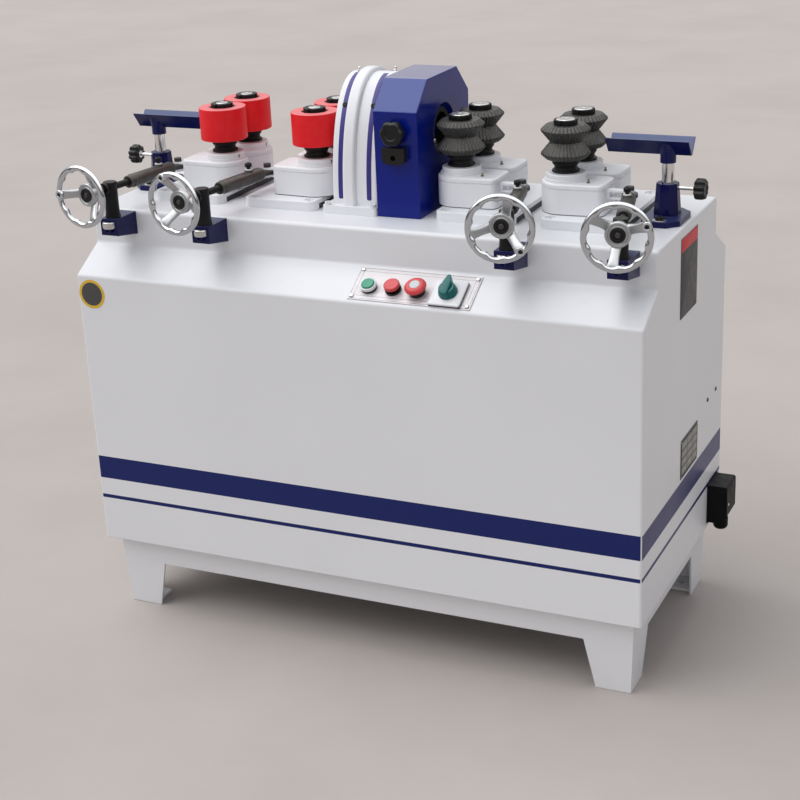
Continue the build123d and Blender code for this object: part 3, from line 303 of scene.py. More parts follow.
def roundedEdge(radius):
    # Normal rounded over an edge, and how far it departs from the face: 1 on the edge, 0 away from it
    bevel = addNode(radius, "Bevel", samples=6)
    feed(radius, bevel.inputs["Radius"])
    face = addNode(radius, "NewGeometry").outputs["Normal"]
    dot = vectorNode("DOT_PRODUCT", bevel.outputs[0], face)["Value"]
    return bevel.outputs[0], ramp(dot, 0.995, 0.86)


# Shader groups
def newGroup(name, **inputs):
    # A socket's kind follows from its default: 4 numbers are a colour, 3 a vector and 1 a plain number
    group = bpy.data.node_groups.new(name, "ShaderNodeTree")
    kinds = {4: "NodeSocketColor", 3: "NodeSocketVector", 1: "NodeSocketFloat"}
    for label, value in inputs.items():
        socket = group.interface.new_socket(label, in_out="INPUT", socket_type=kinds[np.size(value)])
        socket.default_value = value
    for label, size in (("Color", 4), ("Roughness", 1), ("Height", 1), ("Normal", 3)):
        group.interface.new_socket(label, in_out="OUTPUT", socket_type=kinds[size])
    return group, group.nodes.new("NodeGroupInput").outputs


def closeGroup(group, **results):
    ends = group.nodes.new("NodeGroupOutput").inputs
    for label, value in results.items():
        feed(value, ends[label])
    return group


def paintGroup():
    # Sprayed enamel: tone drift, orange peel, wear on edges and dust on faces that look up, with a painted
    # pale-blue sky reflection on sloping faces and a painted pale sheen on faces that look straight up
    skyReflection, topSheen, dust = (0.36, 0.48, 0.82, 1), (0.66, 0.6, 0.63, 1), (0.36, 0.33, 0.3, 1)
    tree, given = newGroup("enamelSkin", Color=(0.8, 0.8, 0.8, 1), Worn=(0.3, 0.3, 0.3, 1), Wear=0.3,
                           Dust=0.1, Gloss=0.3, Edge=0.0015, Film=0, Haze=0)
    at = coordinate(tree)
    normal, edge = roundedEdge(given["Edge"])
    drift = ramp(noiseOn(at, 2.2), 0.3, 0.7, 0.98, 1.02)
    shade = vectorNode("SCALE", given["Color"], drift, "Scale")[0]
    up = axes(coordinate(tree, "Normal"))[2]
    specks = ramp(noiseOn(at, 34, 6, 0.7), 0.45, 0.95)
    dusty = times(times(ramp(up, 0.5, 0.95), specks), given["Dust"], True)
    chips = ramp(noiseOn(at, 140, 4, 0.65), 0.5, 0.62)
    worn = times(times(edge, chips), given["Wear"], True)
    # Painted reflection of the sky on faces that slope up, and painted pale sheen on faces that look straight
    # up
    reflectionShare = times(ramp(up, 0.2, 0.6), given["Film"], True)
    sheenShare = times(ramp(up, 0.86, 0.98), given["Haze"], True)
    color = shade
    for share, veil in ((reflectionShare, skyReflection), (sheenShare, topSheen), (dusty, dust), (worn, given["Worn"])):
        color = mixColor(share, color, veil)
    smear = ramp(noiseOn(at, 9, 3), 0.3, 0.8, 0, 0.07)
    rough = plus(plus(given["Gloss"], smear), times(dusty, 0.4), True)
    return closeGroup(tree, Color=color, Roughness=rough, Height=noiseOn(at, 520), Normal=normal)


def metalGroup():
    # Bare metal: stretched machining grain, cloudy tarnish and brighter edges
    tree, given = newGroup("bareMetal", Color=(0.6, 0.6, 0.6, 1), Tarnish=(0.3, 0.3, 0.3, 1),
                           Bright=(0.8, 0.8, 0.8, 1), Cloud=0.4, Shine=0.3, Edge=0.001, Grain=(900, 900, 60))
    at = coordinate(tree)
    normal, edge = roundedEdge(given["Edge"])
    grain = noiseOn(vectorNode("MULTIPLY", at, given["Grain"])[0], 1, 3, 0.6)
    cloud = ramp(noiseOn(at, 42, 3), 0.4, 0.8)
    stained = mixColor(times(cloud, given["Cloud"], True), given["Color"], given["Tarnish"])
    color = mixColor(times(edge, 0.7), stained, given["Bright"])
    rough = plus(given["Shine"], ramp(grain, 0.3, 0.7, -0.03, 0.05))
    rough = plus(rough, times(cloud, 0.12), True)
    return closeGroup(tree, Color=color, Roughness=rough, Height=grain, Normal=normal)


def mouldedGroup():
    # Moulded plastic or rubber: fine pitted skin, faint mottling, paler rubbed edges
    tree, given = newGroup("mouldedSkin", Color=(0.03, 0.03, 0.03, 1), Rubbed=(0.1, 0.1, 0.1, 1), Gloss=0.4,
                           Edge=0.0008, Pits=1400)
    at = coordinate(tree)
    normal, edge = roundedEdge(given["Edge"])
    mottle = ramp(noiseOn(at, 70, 4, 0.6), 0.35, 0.75)
    rubbed = plus(times(mottle, 0.16), times(edge, 0.45), True)
    color = mixColor(rubbed, given["Color"], given["Rubbed"])
    rough = plus(given["Gloss"], times(mottle, 0.15), True)
    return closeGroup(tree, Color=color, Roughness=rough, Height=noiseOn(at, given["Pits"]), Normal=normal)


groups = {"enamel": paintGroup(), "metal": metalGroup(), "moulded": mouldedGroup()}


# Finishes: values in the order of their group's inputs, then bump, specular level, metallic and bump depth.
# Inputs left off at the end keep the group's default, and a grain of one number is the same all ways.
paint = {"white": (0.8, 0.81, 0.84), "navy": (0.003, 0.004, 0.068), "stripe": (0.001, 0.01, 0.118),
         "wornWhite": (0.45, 0.44, 0.43), "wornBlue": (0.09, 0.11, 0.3), "zinc": (0.6, 0.6, 0.59)}
# In blue, navy and rest enamels the seventh value sets a painted sky reflection on sloping faces, and in blue
# the eighth a painted pale sheen on faces that look up
enamels = {
    "whiteEnamel": ((paint["white"], paint["wornWhite"], 0.25, 0.08, 0.28, 0.0018), 0.03, 0.32),
    "castWhiteEnamel": (((0.84, 0.85, 0.88), paint["wornWhite"], 0.35, 0.1, 0.32, 0.0016),
        0.09, 0.4, 0, 0.0004),
    "blueEnamel": (((0.0015, 0.011, 0.205), paint["wornBlue"], 0.4, 0.04, 0.18, 0.0012, 0.16, 0.45),
        0.03, 0.27),
    "navyEnamel": ((paint["navy"], (0.04, 0.05, 0.15), 0.4, 0.03, 0.2, 0.0012, 0.06), 0.03, 0.22),
    "stripEnamel": (((0.045, 0.036, 0.22), paint["wornBlue"], 0.3, 0.03, 0.3, 0.0004), 0.03, 0.35),
    "greyEnamel": (((0.23, 0.26, 0.29), (0.3, 0.3, 0.3), 0.4, 0.3, 0.38, 0.0015), 0.06),
    "restEnamel": (((0.002, 0.005, 0.075), paint["wornBlue"], 0.4, 0.04, 0.18, 0.0012, 0.24), 0.03, 0.27),
}
metals = {
    "blackOxide": (((0.01, 0.01, 0.011), (0.022, 0.021, 0.02), (0.07, 0.07, 0.07), 0.5, 0.4, 0.0007),
        0.04, 0.25, 0.35),
    "gunmetal": (((0.07, 0.066, 0.062), (0.038, 0.035, 0.032), (0.18, 0.17, 0.165), 0.6, 0.38, 0.0006, 500),
        0.06, 0.5, 0.55),
    "toothSteel": (((0.037, 0.036, 0.034), (0.016, 0.0155, 0.015), (0.46, 0.445, 0.41), 0.6, 0.4,
        0.0009, 400), 0.08, 0.5, 0.5),
    "polishedAluminium": (((0.54, 0.56, 0.59), (0.42, 0.435, 0.455), (0.88, 0.89, 0.9), 0.2, 0.11,
        0.0008, 150), 0.012, 0.5, 1),
    "satinAluminium": (((0.44, 0.45, 0.465), (0.33, 0.335, 0.34), (0.62, 0.63, 0.64), 0.2, 0.3, 0.001, 220),
        0.02, 0.5, 0.85),
    "groundSteel": (((0.55, 0.55, 0.55), (0.33, 0.32, 0.3), (0.75, 0.75, 0.74), 0.4, 0.26,
        0.0008, (60, 900, 900)), 0.04, 0.5, 1),
    "zincScrew": ((paint["zinc"], (0.4, 0.4, 0.38), (0.8, 0.8, 0.79), 0.4, 0.24, 0.0004, 700),
        0.03, 0.5, 1),
    "satinPlate": (((0.6, 0.58, 0.6), (0.53, 0.51, 0.5), (0.74, 0.74, 0.74), 0.3, 0.42,
        0.0004, (40, 1500, 1500)), 0.03, 0.5, 0.25),
    "brassNipple": (((0.2, 0.17, 0.12), (0.1, 0.085, 0.06), (0.4, 0.36, 0.28), 0.4, 0.3, 0.0004),
        0.04, 0.5, 1),
}
mouldings = {
    "redRubber": (((0.84, 0.01, 0.017), (0.88, 0.07, 0.07), 0.38, 0.0012, 700), 0.04, 0.28),
    "blackPlastic": (((0.006, 0.006, 0.007), (0.026, 0.026, 0.027), 0.32, 0.0007), 0.05, 0.28),
    "inletPlastic": (((0.005, 0.005, 0.006), (0.02, 0.02, 0.021), 0.42, 0.0009), 0.05, 0.1),
    "beltRubber": (((0.02, 0.02, 0.02), (0.07, 0.07, 0.065), 0.6, 0.0006, 500), 0.1),
    "greenCap": (((0.01, 0.27, 0.155), (0.07, 0.38, 0.25), 0.3, 0.0005), 0.03),
    "redCap": (((0.6, 0.035, 0.045), (0.8, 0.18, 0.17), 0.3, 0.0006), 0.03),
    "tealCap": (((0.001, 0.115, 0.112), (0.008, 0.24, 0.23), 0.24, 0.0006), 0.03, 0.3),
    "whiteCap": ((paint["white"], (0.72, 0.72, 0.74), 0.3, 0.0005), 0.03),
    "paleDisc": (((0.55, 0.6, 0.62), (0.66, 0.7, 0.72), 0.35, 0.0004), 0.03),
    "darkLine": (((0.06, 0.06, 0.065), (0.12, 0.12, 0.12), 0.6), 0.02),
    "plateDark": (((0.055, 0.055, 0.055), (0.09, 0.09, 0.085), 0.5, 0.0008, 350), 0.05),
    "plateRed": (((0.62, 0.04, 0.052), (0.7, 0.11, 0.115), 0.5), 0.03),
    "plateGrey": (((0.3, 0.29, 0.27), (0.38, 0.37, 0.35), 0.45, 0.0008, 350), 0.05),
    "yellowPrint": (((0.72, 0.46, 0.03), (0.78, 0.54, 0.1), 0.5), 0.03),
}


def rgba(color):
    return (*color, 1)


def finish(name, kind, values, bump, specular=0.5, metallic=0, bumpDepth=0.0002):
    # One group, a bump on its rounded normal, and a Principled shader with its constants
    material = bpy.data.materials.new(name)
    material.use_nodes = True
    tree = material.node_tree
    bsdf = tree.nodes["Principled BSDF"]
    skin = addNode(tree, "Group", node_tree=groups[kind])
    for socket, value in zip(skin.inputs, values):
        if socket.type == "VECTOR" and isinstance(value, int):
            value = (value,) * 3
        socket.default_value = rgba(value) if socket.type == "RGBA" else value
    relief = addNode(tree, "Bump", Strength=bump, Distance=bumpDepth)
    feed(skin.outputs["Height"], relief.inputs["Height"])
    feed(skin.outputs["Normal"], relief.inputs["Normal"])
    feed(relief.outputs[0], bsdf.inputs["Normal"])
    feed(skin.outputs["Color"], bsdf.inputs["Base Color"])
    feed(skin.outputs["Roughness"], bsdf.inputs["Roughness"])
    bsdf.inputs["Specular IOR Level"].default_value = specular
    bsdf.inputs["Metallic"].default_value = metallic
    material.diffuse_color = rgba(values[0])
    return material


finishes = {}
for kind, table in (("enamel", enamels), ("metal", metals), ("moulded", mouldings)):
    for name, settings in table.items():
        finishes[name] = finish(name, kind, *settings)
print("finishes made")


def variant(name, source):
    # A copy of a finish to lay colours over
    finishes[name] = finishes[source].copy()
    finishes[name].name = name
    return opened(name)


def opened(name):
    # X, Y and Z of the object's space, in a finish's node tree
    return axes(coordinate(finishes[name].node_tree))


def overlay(name, mask, color, rough=None, metal=None):
    # Where mask is 1 another colour, roughness or metallic takes over
    sockets = finishes[name].node_tree.nodes["Principled BSDF"].inputs
    base = sockets["Base Color"].links[0].from_socket
    feed(mixColor(mask, base, rgba(color)), sockets["Base Color"])
    if rough is not None:
        given = sockets["Roughness"].links[0].from_socket
        kept = times(given, mathNode("SUBTRACT", 1, mask))
        feed(plus(kept, times(mask, rough)), sockets["Roughness"])
    if metal is not None:
        feed(times(mask, metal), sockets["Metallic"])


# Limits of the painted areas, in metres
marks = {
    "tyreTop": 0.9924, "wideBand": (0.2856, 0.3325), "narrowBand": (0.2424, 0.25), "shellSide": 0.5594,
    "shellFront": -0.2674, "shellBack": 0.2672, "cupFront": -0.1108, "chromeTop": 0.9218, "flankFacing": 0.9,
    "flankTop": 0.83, "flankFront": -0.09, "forkX": (0.2272, 0.3), "endForkX": 0.4262, "pinLow": 0.8825,
    "gapShadowTop": 0.8394, "noseFront": -0.2565, "noseZ": (0.788, 0.808), "middleY": (-0.18, 0.26),
    "sunkX": (0.1, 0.5), "sunkTop": 0.8385, "flangeX": (-0.101, 0.0055), "flangeLow": 0.834,
}

# Tyres are paler on top: a painted highlight on their upper faces, where the light falls
xAt, yAt, zAt = opened("redRubber")
overlay("redRubber", above(zAt, marks["tyreTop"]), (0.82, 0.19, 0.2))

# Painted bands of the cabinet, on its outer faces but not its back
xAt, yAt, zAt = variant("cabinetEnamel", "whiteEnamel")
side = above(mathNode("ABSOLUTE", xAt), marks["shellSide"])
outer = either(side, below(yAt, marks["shellFront"]))
outer = times(outer, below(yAt, marks["shellBack"]))
band = either(between(zAt, marks["wideBand"]), between(zAt, marks["narrowBand"]))
overlay("cabinetEnamel", times(band, outer), paint["stripe"])

# The hood's latch cup is moulded, and the rests' posts are chromed
xAt, yAt, zAt = variant("hoodEnamel", "blueEnamel")
overlay("hoodEnamel", below(yAt, marks["cupFront"]), (0.01, 0.0095, 0.009), 0.45)
xAt, yAt, zAt = opened("restEnamel")
overlay("restEnamel", below(zAt, marks["chromeTop"]), (0.72, 0.72, 0.71), 0.12, 1)

# Base plates have a dark flank, and swing boxes dark fork pins and, along their foot, a painted shadow line
# where the gap to the plate is
xAt, yAt, zAt = variant("platesEnamel", "castWhiteEnamel")
facing = axes(addNode(zAt, "NewGeometry").outputs["Normal"])[0]
flank = times(above(facing, marks["flankFacing"]), below(zAt, marks["flankTop"]))
overlay("platesEnamel", times(flank, above(yAt, marks["flankFront"])), (0.03, 0.03, 0.033), 0.5)
xAt, yAt, zAt = variant("boxEnamel", "castWhiteEnamel")
out = mathNode("ABSOLUTE", xAt)
forks = either(between(out, marks["forkX"]), above(out, marks["endForkX"]))
pins = times(forks, above(zAt, marks["pinLow"]))
# Painted shadow line along the foot of each box, where it sits on its plate
overlay("boxEnamel", either(pins, below(zAt, marks["gapShadowTop"])), (0.03, 0.03, 0.031), 0.45)

# Screws in front and behind are plated, sunk and flange bolts are painted white, and bracket bolts navy
xAt, yAt, zAt = variant("boltMetal", "blackOxide")
nose = times(below(yAt, marks["noseFront"]), between(zAt, marks["noseZ"]))
frontScrews = mathNode("SUBTRACT", below(yAt, marks["middleY"][0]), nose)
plated = either(frontScrews, above(yAt, marks["middleY"][1]))
overlay("boltMetal", plated, paint["zinc"], 0.26, 1)
out = mathNode("ABSOLUTE", xAt)
sunk = times(between(out, marks["sunkX"]), below(zAt, marks["sunkTop"]))
sunk = times(sunk, between(yAt, marks["middleY"]))
flange = times(between(xAt, marks["flangeX"]), above(zAt, marks["flangeLow"]))
overlay("boltMetal", either(sunk, flange), paint["white"], 0.35)
overlay("boltMetal", nose, paint["navy"], 0.3)

nodeFinish = {
    "cabinetEnamel": ["cabinet_shell"],
    "whiteEnamel": ["base_frame", "rear_panel"],
    "castWhiteEnamel": ["headstock"],
    "platesEnamel": ["roller_base_plates"],
    "boxEnamel": [f"swing_box_{tag}" for tag, *_ in seats()],
    "navyEnamel": ["screw_brackets", "rest_stands"],
    "hoodEnamel": ["cutter_hood"],
    "restEnamel": ["work_rest_outfeed", "work_rest_infeed"],
    "boltMetal": ["fasteners"],
    "blackOxide": ["screw_posts", "infeed_bush", "spindle_pulley", "motor_pulley", "cutter_knives",
        "feed_shaft"],
    "groundSteel": ["spindle", "cutter_head", "spindle_bearings", "table_plate", "motor_shelf",
        "shaft_hangers"],
    "greyEnamel": ["main_motor", "feed_gearmotor"],
    "beltRubber": ["drive_belts"],
    "satinPlate": ["control_plate"],
    "blackPlastic": ["switch_bodies"],
    "inletPlastic": ["power_inlet"],
}
for material, names in nodeFinish.items():
    for name in names:
        nodes[name].data.materials.clear()
        nodes[name].data.materials.append(finishes[material])
print("CAD nodes dressed")


# Rollers
roller = {"bottom": 931, "top": 991, "half": 30, "radius": 45, "core": 24, "bore": 12.6, "round": 1.8,
          "bossTop": 907.6, "nutRadius": 21, "nutHeight": 9, "slotHalf": 0.13, "slotDepth": 3, "teeth": 36,
          "toothDepth": 2, "waist": 28, "crown": 35, "rimGap": 21, "tyreProud": 2.2,
          "end": {-1: 12.5, 1: 17.5}}


def nutSurface():
    # Slotted nut: r = R - d s(4a), where s is 1 in a narrow slot and 0 between the slots
    a = circle(192)
    away = np.abs((a + pi / 4) % (pi / 2) - pi / 4)
    r = roller["nutRadius"] - roller["slotDepth"] * (away < roller["slotHalf"])
    return pushed(aroundZ(r, 0, a)[:, :2], roller["top"], roller["top"] + roller["nutHeight"], 1)


def spindleEnd(r):
    # Turned end of the roller's spindle in the nut, with a centre hole
    top = roller["top"] + roller["nutHeight"]
    corners = [(0, top - 3), (2.2, top - 1.2), (2.6, top + 0.6), (r - 1.5, top + 0.6), (r, top - 0.8),
               (r, top - 6)]
    return lathe(corners, 0.4, 40)


def collarSurface():
    # Waisted collar between the boss and the roller
    low, high, bore = roller["bossTop"], roller["bottom"] + 0.4, roller["bore"]
    corners = [(bore, low), (24.6, low), (24.6, low + 3.6), (20.6, low + 5.6), (20.2, low + 10),
               (23.2, low + 14), (24.4, low + 16), (24.4, high), (bore, high)]
    return latheRing(corners, 1.2, 56)


def tyreSurface():
    # Rubber tyre: a ring with soft rims and a chamfered bore, turned about the roller's axis
    low, high = roller["bottom"] + 1, roller["top"] + roller["tyreProud"]
    core, r, edge = roller["core"], roller["radius"], roller["round"]
    corners = [(core + 0.2, low + 1), (core + 1.4, low), (r, low), (r, high), (core + 1.4, high),
               (core + 0.2, high - 1)]
    return latheRing(corners, [0.5, 0.6, edge, edge, 0.6, 0.5], 96, 7)


def toothedSurface():
    # Two bevel wheels face to face: r(s) along the profile, less d(r) w(a), with w a flat wave of n teeth
    half, crown, rim, gap = roller["half"], roller["crown"], roller["radius"], roller["rimGap"]
    lower = [(roller["bore"], -half), (crown - 6, -half), (crown, -half), (rim, -gap)]
    upper = [(r, -z) for r, z in reversed(lower)]
    profile = softened([*lower, (roller["waist"], 0), *upper], [0, 0.5, 0.8, 3, 1.6, 3, 0.8, 0.5, 0])
    r, z = profile.T
    a = circle(roller["teeth"] * 10)
    wave = np.clip(0.25 - 1.1 * np.cos(roller["teeth"] * a), 0, 1)
    fade = np.maximum(np.clip((r - (crown - 5)) / 4, 0, 1), (np.abs(z) < gap) * 1)
    depth = roller["toothDepth"] * r / rim * fade
    return aroundZ(r[:, None] - depth[:, None] * wave[None], (z + place["feedZ"])[:, None], a), True, True


for tag, side, row, x, y in seats():
    body = f"roller_{tag}"
    if side < 0:
        core = latheRing(drumLine(roller["core"], roller["bottom"], roller["top"], roller["bore"]), 0.8, 56)
        makePiece(f"tyre_{tag}", [upright(tyreSurface(), x, y)], "redRubber", body, [body])
        makePiece(f"tyre_core_{tag}", [upright(core, x, y)], "blackOxide", body)
    else:
        teeth = upright(toothedSurface(), x, y)
        makePiece(f"toothed_wheels_{tag}", [teeth], "toothSteel", body, [body])
    nut = [upright(s, x, y) for s in (nutSurface(), collarSurface())]
    makePiece(f"roller_nut_{tag}", nut, "blackOxide", body, crease=30)
    end = upright(spindleEnd(roller["end"][side]), x, y)
    makePiece(f"spindle_end_{tag}", [end], "groundSteel", body)
print("rollers made")

# Handwheels, screws and spring tubes
wheel = {"rim": 53.6, "thick": 5.2, "at": 78, "scallops": 10, "scallop": 3, "hub": 21.5, "hubBack": 34,
         "hubFront": 64, "plug": 13, "end": 5.2, "boss": 8, "bossIn": 2.8, "bore": 3.8, "spokes": 3,
         "spokeWide": 23, "spokeNarrow": 15.5, "spokeIn": 11, "spokeFoot": 51, "spokeRise": 26.5,
         "spokeThick": 6.2, "spokeTaper": 2.6,
         "screw": 6.6, "thread": 1, "lead": 4, "screwIn": 110, "screwOut": 33.5, "collar": 12,
         "collarBore": 7.5, "collarZ": (14.2, 20)}


def rimSurface():
    # Torus with a flattened tube and bumps on its inner side: q = t + k ((1 + cos n a) / 2)^2 facing the hub
    a, b = circle(192)[:, None], circle(28)[None]
    inward = np.clip(-np.cos(b), 0, 1) ** 1.2
    q = wheel["thick"] + wheel["scallop"] * (0.5 + 0.5 * np.cos(wheel["scallops"] * a)) ** 2 * inward
    return aroundZ(wheel["rim"] + q * np.cos(b), wheel["at"] + 0.92 * q * np.sin(b), a), True, True


def spokeSurface():
    # Section |x/w|^n + |y/h|^n = 1, n = 2 / 0.62: w narrows to the middle, the line rises in an S
    t, b = np.linspace(0, 1, 24)[:, None], circle(28)[None]
    r = wheel["spokeIn"] + (wheel["rim"] - wheel["spokeIn"]) * t
    z = wheel["spokeFoot"] + wheel["spokeRise"] * (t * t * (3 - 2 * t))
    narrow = np.sin(pi * t) ** 0.8
    halfWide = 0.5 * (wheel["spokeWide"] - (wheel["spokeWide"] - wheel["spokeNarrow"]) * narrow)
    halfThick = wheel["spokeThick"] - wheel["spokeTaper"] * t
    pairs = (halfWide, np.cos(b)), (halfThick, np.sin(b))
    wide, thick = (h * np.sign(w) * np.abs(w) ** 0.62 for h, w in pairs)
    points = np.stack([np.broadcast_to(r, wide.shape) - 0.45 * thick, wide, z + 0.9 * thick], -1)
    ends = [points[i].mean(0) + np.zeros_like(points[:1]) for i in (0, -1)]
    return np.concatenate([ends[0], points, ends[1]]), False, True


def hubSurface():
    # Hub: it widens to the front, where a ring groove runs round the plug; turned about the screw
    back, front, r = wheel["hubBack"], wheel["hubFront"], wheel["hub"]
    corners = [(6.8, back), (r - 6, back), (r - 5, back + 6), (r - 4, front - 16), (r, front - 10),
               (r, front), (17, front), (16.4, front - 1.2), (15, front - 1.2), (14.4, front - 0.2),
               (6.8, front - 0.2)]
    return latheRing(corners, [0, 1, 2, 2, 2, 2.2, 0.4, 0.4, 0.4, 0.4, 0], 64)


def rimBoss():
    # Threaded boss for a grip, on the rim at one spoke, with its hole
    low, high, r, bore = wheel["at"] - 4, wheel["at"] + wheel["thick"] + 0.8, wheel["boss"], wheel["bore"]
    corners = [(0, low), (r, low), (r, high), (bore + 0.4, high), (bore, high - 0.6), (bore, high - 7),
               (0, high - 7)]
    return upright(lathe(corners, [0, 0.5, 0.9, 0.4, 0.3, 0.3, 0], 36), wheel["rim"] - wheel["bossIn"], 0)


def borePlug():
    # Black blank screwed into the grip's hole
    line = drumLine(wheel["bore"] - 0.1, wheel["at"], wheel["at"] + wheel["thick"] + 0.35)
    return upright(revolved(line, 24), wheel["rim"] - wheel["bossIn"], 0)


def plugSurface():
    # Black plug on the hub: its side, a sloped rim and the well round the screw's end, turned about Z
    low, r = wheel["hubFront"] - 0.5, wheel["plug"]
    corners = [(r, low), (r, low + 2.2), (r - 1.4, low + 3), (7.2, low + 3), (6.6, low + 0.8),
               (0, low + 0.8)]
    return lathe(corners, [0, 0.7, 0.7, 0.4, 0.4, 0])


def screwEnd():
    # Faced end of the screw in the plug
    low, r = wheel["hubFront"], wheel["end"]
    return lathe([(r, low), (r, low + 1.6), (r - 1, low + 2.4), (0, low + 2.4)], [0, 0.5, 0.5, 0], 36)


def threadSurface(low, high):
    # Thread: r = R - d |2 frac(z / lead - a / 2 pi) - 1|
    z = np.linspace(low, high, int((high - low) / wheel["lead"] * 10))[:, None]
    a = circle(28)[None]
    r = wheel["screw"] - wheel["thread"] * np.abs(2 * ((z / wheel["lead"] - a / (2 * pi)) % 1) - 1)
    points = aroundZ(r, z, a)
    ends = [np.broadcast_to(np.array([0, 0, h], float), points[:1].shape) for h in (low, high)]
    return np.concatenate([ends[0], points, ends[1]]), False, True


post = {"foot": 818, "footRadius": 14.5, "radius": 13, "top": 886, "noseY": -257, "nut": 13.4, "nutIn": 3,
        "nutZ": (799.5, 812.5), "nutEdge": 2.8}


def postSurface():
    # Turned post: a small flare on the bracket, a plain shaft and a flat top with a soft edge
    foot, wide, r, top = (post[key] for key in ("foot", "footRadius", "radius", "top"))
    corners = [(0, foot - 6), (wide, foot - 6), (wide, foot + 1), (r, foot + 12), (r, top), (0, top)]
    return lathe(corners, [0, 0, 2, 6, 2.6, 0], 48, 9)


tube = {"radius": 13, "front": -58, "tail": 11, "groove": 12.2, "collar": 11.6, "bore": 7.6, "bolt": 138,
        "eye": 14, "eyeHalf": 4, "eyeNeck": 10, "neckFrom": 0.55,
        "seat": (8, 10, 15.2), "washer": (7, 15, 17.2)}


def tubeSurface(run):
    # Sleeve with a narrow front collar, a shallow groove behind it and a turned-down rear end
    back, front = -(run - tube["eye"] - 6), tube["front"]
    r, tail, groove, collar, bore = (tube[key] for key in ("radius", "tail", "groove", "collar", "bore"))
    corners = [(0, back), (tail, back), (tail, back + 4), (r, back + 6), (r, front - 7), (groove, front - 6),
               (groove, front - 5), (r, front - 4), (r, front), (collar, front + 0.5), (collar, front + 10),
               (bore, front + 10), (bore, front - 20), (0, front - 20)]
    return lathe(corners, [0, 0.8, 0.6, 0.8, 0.5, 0.3, 0.3, 0.5, 1.6, 0.5, 1.2, 0.3, 0, 0])


def eyeSurface(run):
    # Flat eye: a circle whose front part is carried on by the neck; its own z is up, its y forward
    a = circle(64)
    outline = aroundZ(tube["eye"], 0, a)[:, :2]
    outline[:, 1] += np.where(np.sin(a) > tube["neckFrom"], tube["eyeNeck"], 0)
    points, u, v = pushed(outline, -tube["eyeHalf"], tube["eyeHalf"], 0.8)
    return np.stack([points[..., 0], points[..., 2], points[..., 1] - run], -1), u, v


def topBolt():
    # Cap screw on top of the sleeve: slim neck and a rounded head
    corners = [(0, 11), (3.6, 11), (3.6, 20.5), (6.3, 21), (6.6, 22), (6.6, 27), (5.2, 28.6), (3.2, 28.6),
               (3, 26.4), (0, 26.4)]
    return lathe(corners, [0, 0, 0.3, 0.3, 0.5, 1.2, 0.6, 0.2, 0.2, 0], 32)


for station, facts in stations.items():
    side, skew, wheelTurn = facts["side"], radians(facts["skew"]), facts["turn"]
    pinX = facts["x"] + side * facts["reach"]
    pinY = place["feedY"] - place["rollerHalf"] - place["lugDrop"]
    run = (pinY - place["postY"]) / cos(skew)
    origin = (pinX + side * run * sin(skew), place["postY"], place["screwZ"])
    across, along = (cos(skew), side * sin(skew), 0), (side * sin(skew), -cos(skew), 0)

    def onScrew(surface, turn=0):
        return placed(turned(surface, turn), origin, along, across)

    def onTube(surface):
        # Local z up, standing on the sleeve over its bolt
        base = np.array(origin) - np.array(along) * tube["bolt"]
        return placed(surface, base, (0, 0, 1), across)

    body = f"handwheel_{station}"
    rim = [onScrew(s, wheelTurn) for s in (rimSurface(), rimBoss())]
    makePiece(f"wheel_{station}", rim, "polishedAluminium", body, [body], 50)
    spokes = [turned(spokeSurface(), k * 360 / wheel["spokes"]) for k in range(wheel["spokes"])]
    hub = [onScrew(s, wheelTurn) for s in (hubSurface(), *spokes)]
    makePiece(f"wheel_hub_{station}", hub, "satinAluminium", body, crease=50)
    makePiece(f"screw_end_{station}", [onScrew(screwEnd())], "gunmetal", body)
    blanks = [onScrew(plugSurface()), onScrew(borePlug(), wheelTurn)]
    makePiece(f"wheel_plug_{station}", blanks, "blackPlastic", body)
    collar = lathe(drumLine(wheel["collar"], *wheel["collarZ"], wheel["collarBore"]), 0.8, 40)
    screw = [onScrew(s) for s in (threadSurface(-wheel["screwIn"], wheel["screwOut"]), collar)]
    makePiece(f"feed_screw_{station}", screw, "blackOxide", body, crease=60)
    column = upright(postSurface(), origin[0], place["postY"])
    holds = ["screw_posts"] if station == "outfeed_end" else []
    makePiece(f"post_{station}", [column], "blackOxide", hides=holds)
    # Round bright head sunk in the nose of the bracket
    nut = lathe(drumLine(post["nut"], *post["nutZ"]), [0, post["nutEdge"], post["nutEdge"], 0], 48, 9)
    nut = upright(nut, origin[0], post["noseY"] + post["nutIn"])
    makePiece(f"nose_nut_{station}", [nut], "zincScrew")
    body = f"tube_{station}"
    seat = lathe(drumLine(*tube["seat"]), [0, 0, 0.6, 0], 36)
    sleeve = [onScrew(tubeSurface(run)), onScrew(eyeSurface(run)), onTube(seat)]
    makePiece(f"sleeve_{station}", sleeve, "gunmetal", body, [f"spring_tube_{station}"])
    makePiece(f"sleeve_bolt_{station}", [onTube(topBolt())], "blackOxide", body)
    washer = lathe(drumLine(*tube["washer"]), [0, 0.4, 0.7, 0], 36)
    makePiece(f"sleeve_washer_{station}", [onTube(washer)], "whiteCap", body)
print("handwheels, screws and sleeves made")

# Lobed knobs and the rests' washers
knob = {"hood": (23, 20, 6, 0.11), "hoodX": 51.5, "hoodOut": 120.5, "hoodUp": 16, "neck": 4,
        "clamp": (19, 20, 9, 0.2), "clampX": {-1: -574, 1: 566}, "clampZ": 877.5,
        "washerX": {-1: -525, 1: 517}, "washerY": (-40, 42), "washerZ": 830}
ends = {"outfeed": -1, "infeed": 1}


